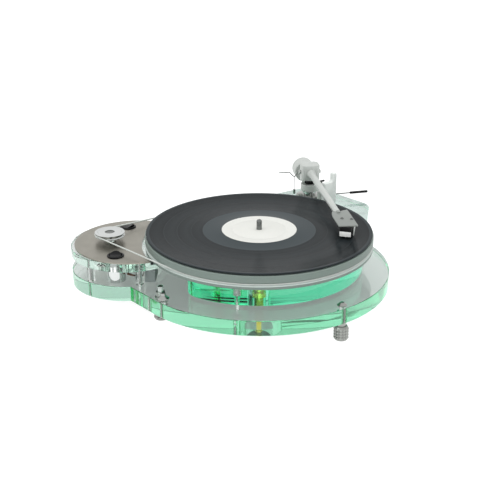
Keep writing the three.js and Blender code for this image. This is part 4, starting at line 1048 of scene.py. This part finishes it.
# %% [markdown]
# ## The moving arm
#
# These pieces are drawn in the arm's own frame, with its pivot as origin and +X
# towards the stylus, and one matrix lays them where the arm stands.

# %% The yoke
ARM = shift(*PIVOT, pivot_z) @ rotation(ARM_TURN, "Z")


def on_arm(bm, turn=Matrix()):
    """Lays a bmesh that was drawn in the arm's frame where the arm stands."""
    bm.transform(ARM @ turn)
    return bm


block = sheet((12, 14, 7), (-12, 14, 7), (-12, -14, 7), (12, -14, 7))
thicken(block, -13.5, 12.5, 1.6, 4)
bore = turned([(0, -16), (5.3, -16), (5.3, 16), (0, 16)], 48)
bore.transform(LYING)
dimple = turned([(0, 11.6), (2, 12.1), (2.6, 12.6), (2.6, 14), (0, 14)], 32)
pin_bore = turned([(0, -14.3), (1.75, -14.3), (1.75, 14.3), (0, 14.3)], 32)
pin_bore.transform(ACROSS)
dress("yoke_block", on_arm(block), SATIN, "arm_swing", "arm_yoke",
      cutters=[on_arm(bore), on_arm(pin_bore), on_arm(dimple)])
for sign in (1, -1):
    name = "left" if sign > 0 else "right"
    lathe("yoke_cap_" + name, POLISHED, "arm_swing", "arm_yoke", [
        (1.75, 13.2), (3, 13.2), (3, 16.1), (2.5, 16.6), (0, 16.6), (0, 14.3), (1.75, 14.3)], 40,
          turn=ARM @ rotation(90 * sign, "X"))

# %% The tube, its collar and the counterweight
lathe("arm_tube_drawn", SATIN, "arm", "arm_tube", [
    (0, -62), (3, -62), (3.4, -61.6), (3.4, -17), (4.1, -17), (4.4, -16.7), (4.4, 12.9), (6.4, 12.9),
    (6.9, 13.6), (6.5, 15.5), (5.6, 19), (5, 24), (4.8, 32), (4.75, 60), (4.5, 168), (4.45, 171.2),
    (4.2, 171.4), (4.2, 172), (4.45, 172.2), (4.4, 189), (0, 189)], 48, turn=ARM @ LYING)
lathe("arm_pivot_pin", POLISHED, "arm", "arm_tube", [
    (0, -14), (1.5, -14), (1.5, 14), (0, 14)], 24, turn=ARM @ ACROSS)
shaft_bore = turned([(0, -60), (3.7, -60), (3.7, -30), (0, -30)], 48)
lathe("counterweight_turned", SATIN, "counterweight", "counterweight", [
    (0, -57), (15.1, -57), (16.5, -55.6), (16.5, -51.2), (16.1, -50.9), (16.1, -50.3), (16.5, -50),
    (16.5, -34.4), (15.1, -33), (0, -33)], turn=ARM @ shift(0, 0, -10.5) @ LYING,
      cutters=[on_arm(shaft_bore, LYING)])

# %% The headshell
shell = sheet((187, -4.4, 0), (189.5, -8.2, 3), (204, -11, 6), (243.6, -11, 1), (245, 14.6, 1.2),
              (183, 14.6, 1.2), (188, 4.4, 1.5))
thicken(shell, 1, 2.8, 0.25)
hole = turned([(0, 182), (4.7, 182), (4.7, 189.3), (0, 189.3)], 48)
dress("headshell_plate", on_arm(shell), SATIN_GREY, "arm", "headshell", cutters=[on_arm(hole, LYING)])
lathe("headshell_socket", SATIN_GREY, "arm", "headshell", [
    (0, 189.3), (4.1, 189.3), (4.4, 189.6), (4.4, 195), (4.1, 195.3), (0, 195.3)], 48, turn=ARM @ LYING)
for number, place in enumerate(((217.4, -0.6), (221.6, 11.4)), 1):
    lathe(f"headshell_screw_{number}", DARK_STEEL, "arm", None, [
        (0, 2.7), (2.2, 2.7), (2.2, 3.6), (1.9, 4.1), (0.9, 4.2), (0.9, 3.3), (0, 3.3)], 24, place, ARM)

# %% The cartridge, turned to lie along the groove
STYLUS_X = 240
OFFSET = shift(STYLUS_X, 0, 0) @ rotation(-22.8, "Z")
side_view = sheet((-19, 1, 0), (-19, -5.4, 0.6), (-16.6, -13.4, 0.6), (4.6, -13.4, 0.6), (7, -11.4, 0.4),
                  (7, 1, 0))
thicken(side_view, -7.4, 7.4, 0.35)
dress("cartridge_shell", on_arm(side_view, OFFSET @ ACROSS), BLACK, "arm", "cartridge")
band = cuboid((0.9, 14.8, 6.6), (7.6, 0, -8.1))
soften(band, 0.25)
dress("front_band", on_arm(band, OFFSET), WHITE_PAINT, "arm", "cartridge_band")
lathe("stylus_ground", POLISHED, "arm", "stylus", [
    (0, -14.7), (0.25, -14.6), (0.5, -14.4), (0.9, -13.8), (1.2, -13.4), (0, -13.4)], 24, (STYLUS_X, 0), ARM)

# %% The finger lift
tab = sheet((9.3, 1, 0), (8.2, -12, 0.4), (9.4, -12, 0.4), (11.3, 1, 0))
thicken(tab, 240.7, 244.2, 0.2)
standing = rotation(90, "Z") @ ACROSS
dress("finger_tab", on_arm(tab, standing), SATIN, "arm", "finger_lift")

# %% The bias rod and its weight
bend = [(0, -16.9, 0), (0, -18.3, 0), (0, -20, -3.2), (0, -21.8, -6), (0, -23.8, -6.8), (0, -25.9, -6),
        (0, -28.4, -3), (0, -31, 0), (0, -37, 0), (0, -47.5, 0)]
cord("bias_rod_bent", bend, 0.7, DARK_STEEL, "arm_swing", "bias_rod", place=ARM)
THREAD_AT = (1.2, -23.8)
lathe("bias_thread", BLACK, "arm_swing", "bias_weight", [
    (0, -28), (0.35, -28), (0.35, -6.1), (0, -6.1)], 12, THREAD_AT, ARM)
lathe("bias_bob", TURNED_STEEL, "arm_swing", "bias_weight", [
    (0, -34), (1.6, -34), (2, -33.6), (2, -27.4), (1.6, -27), (0, -27)], 32, THREAD_AT, ARM)
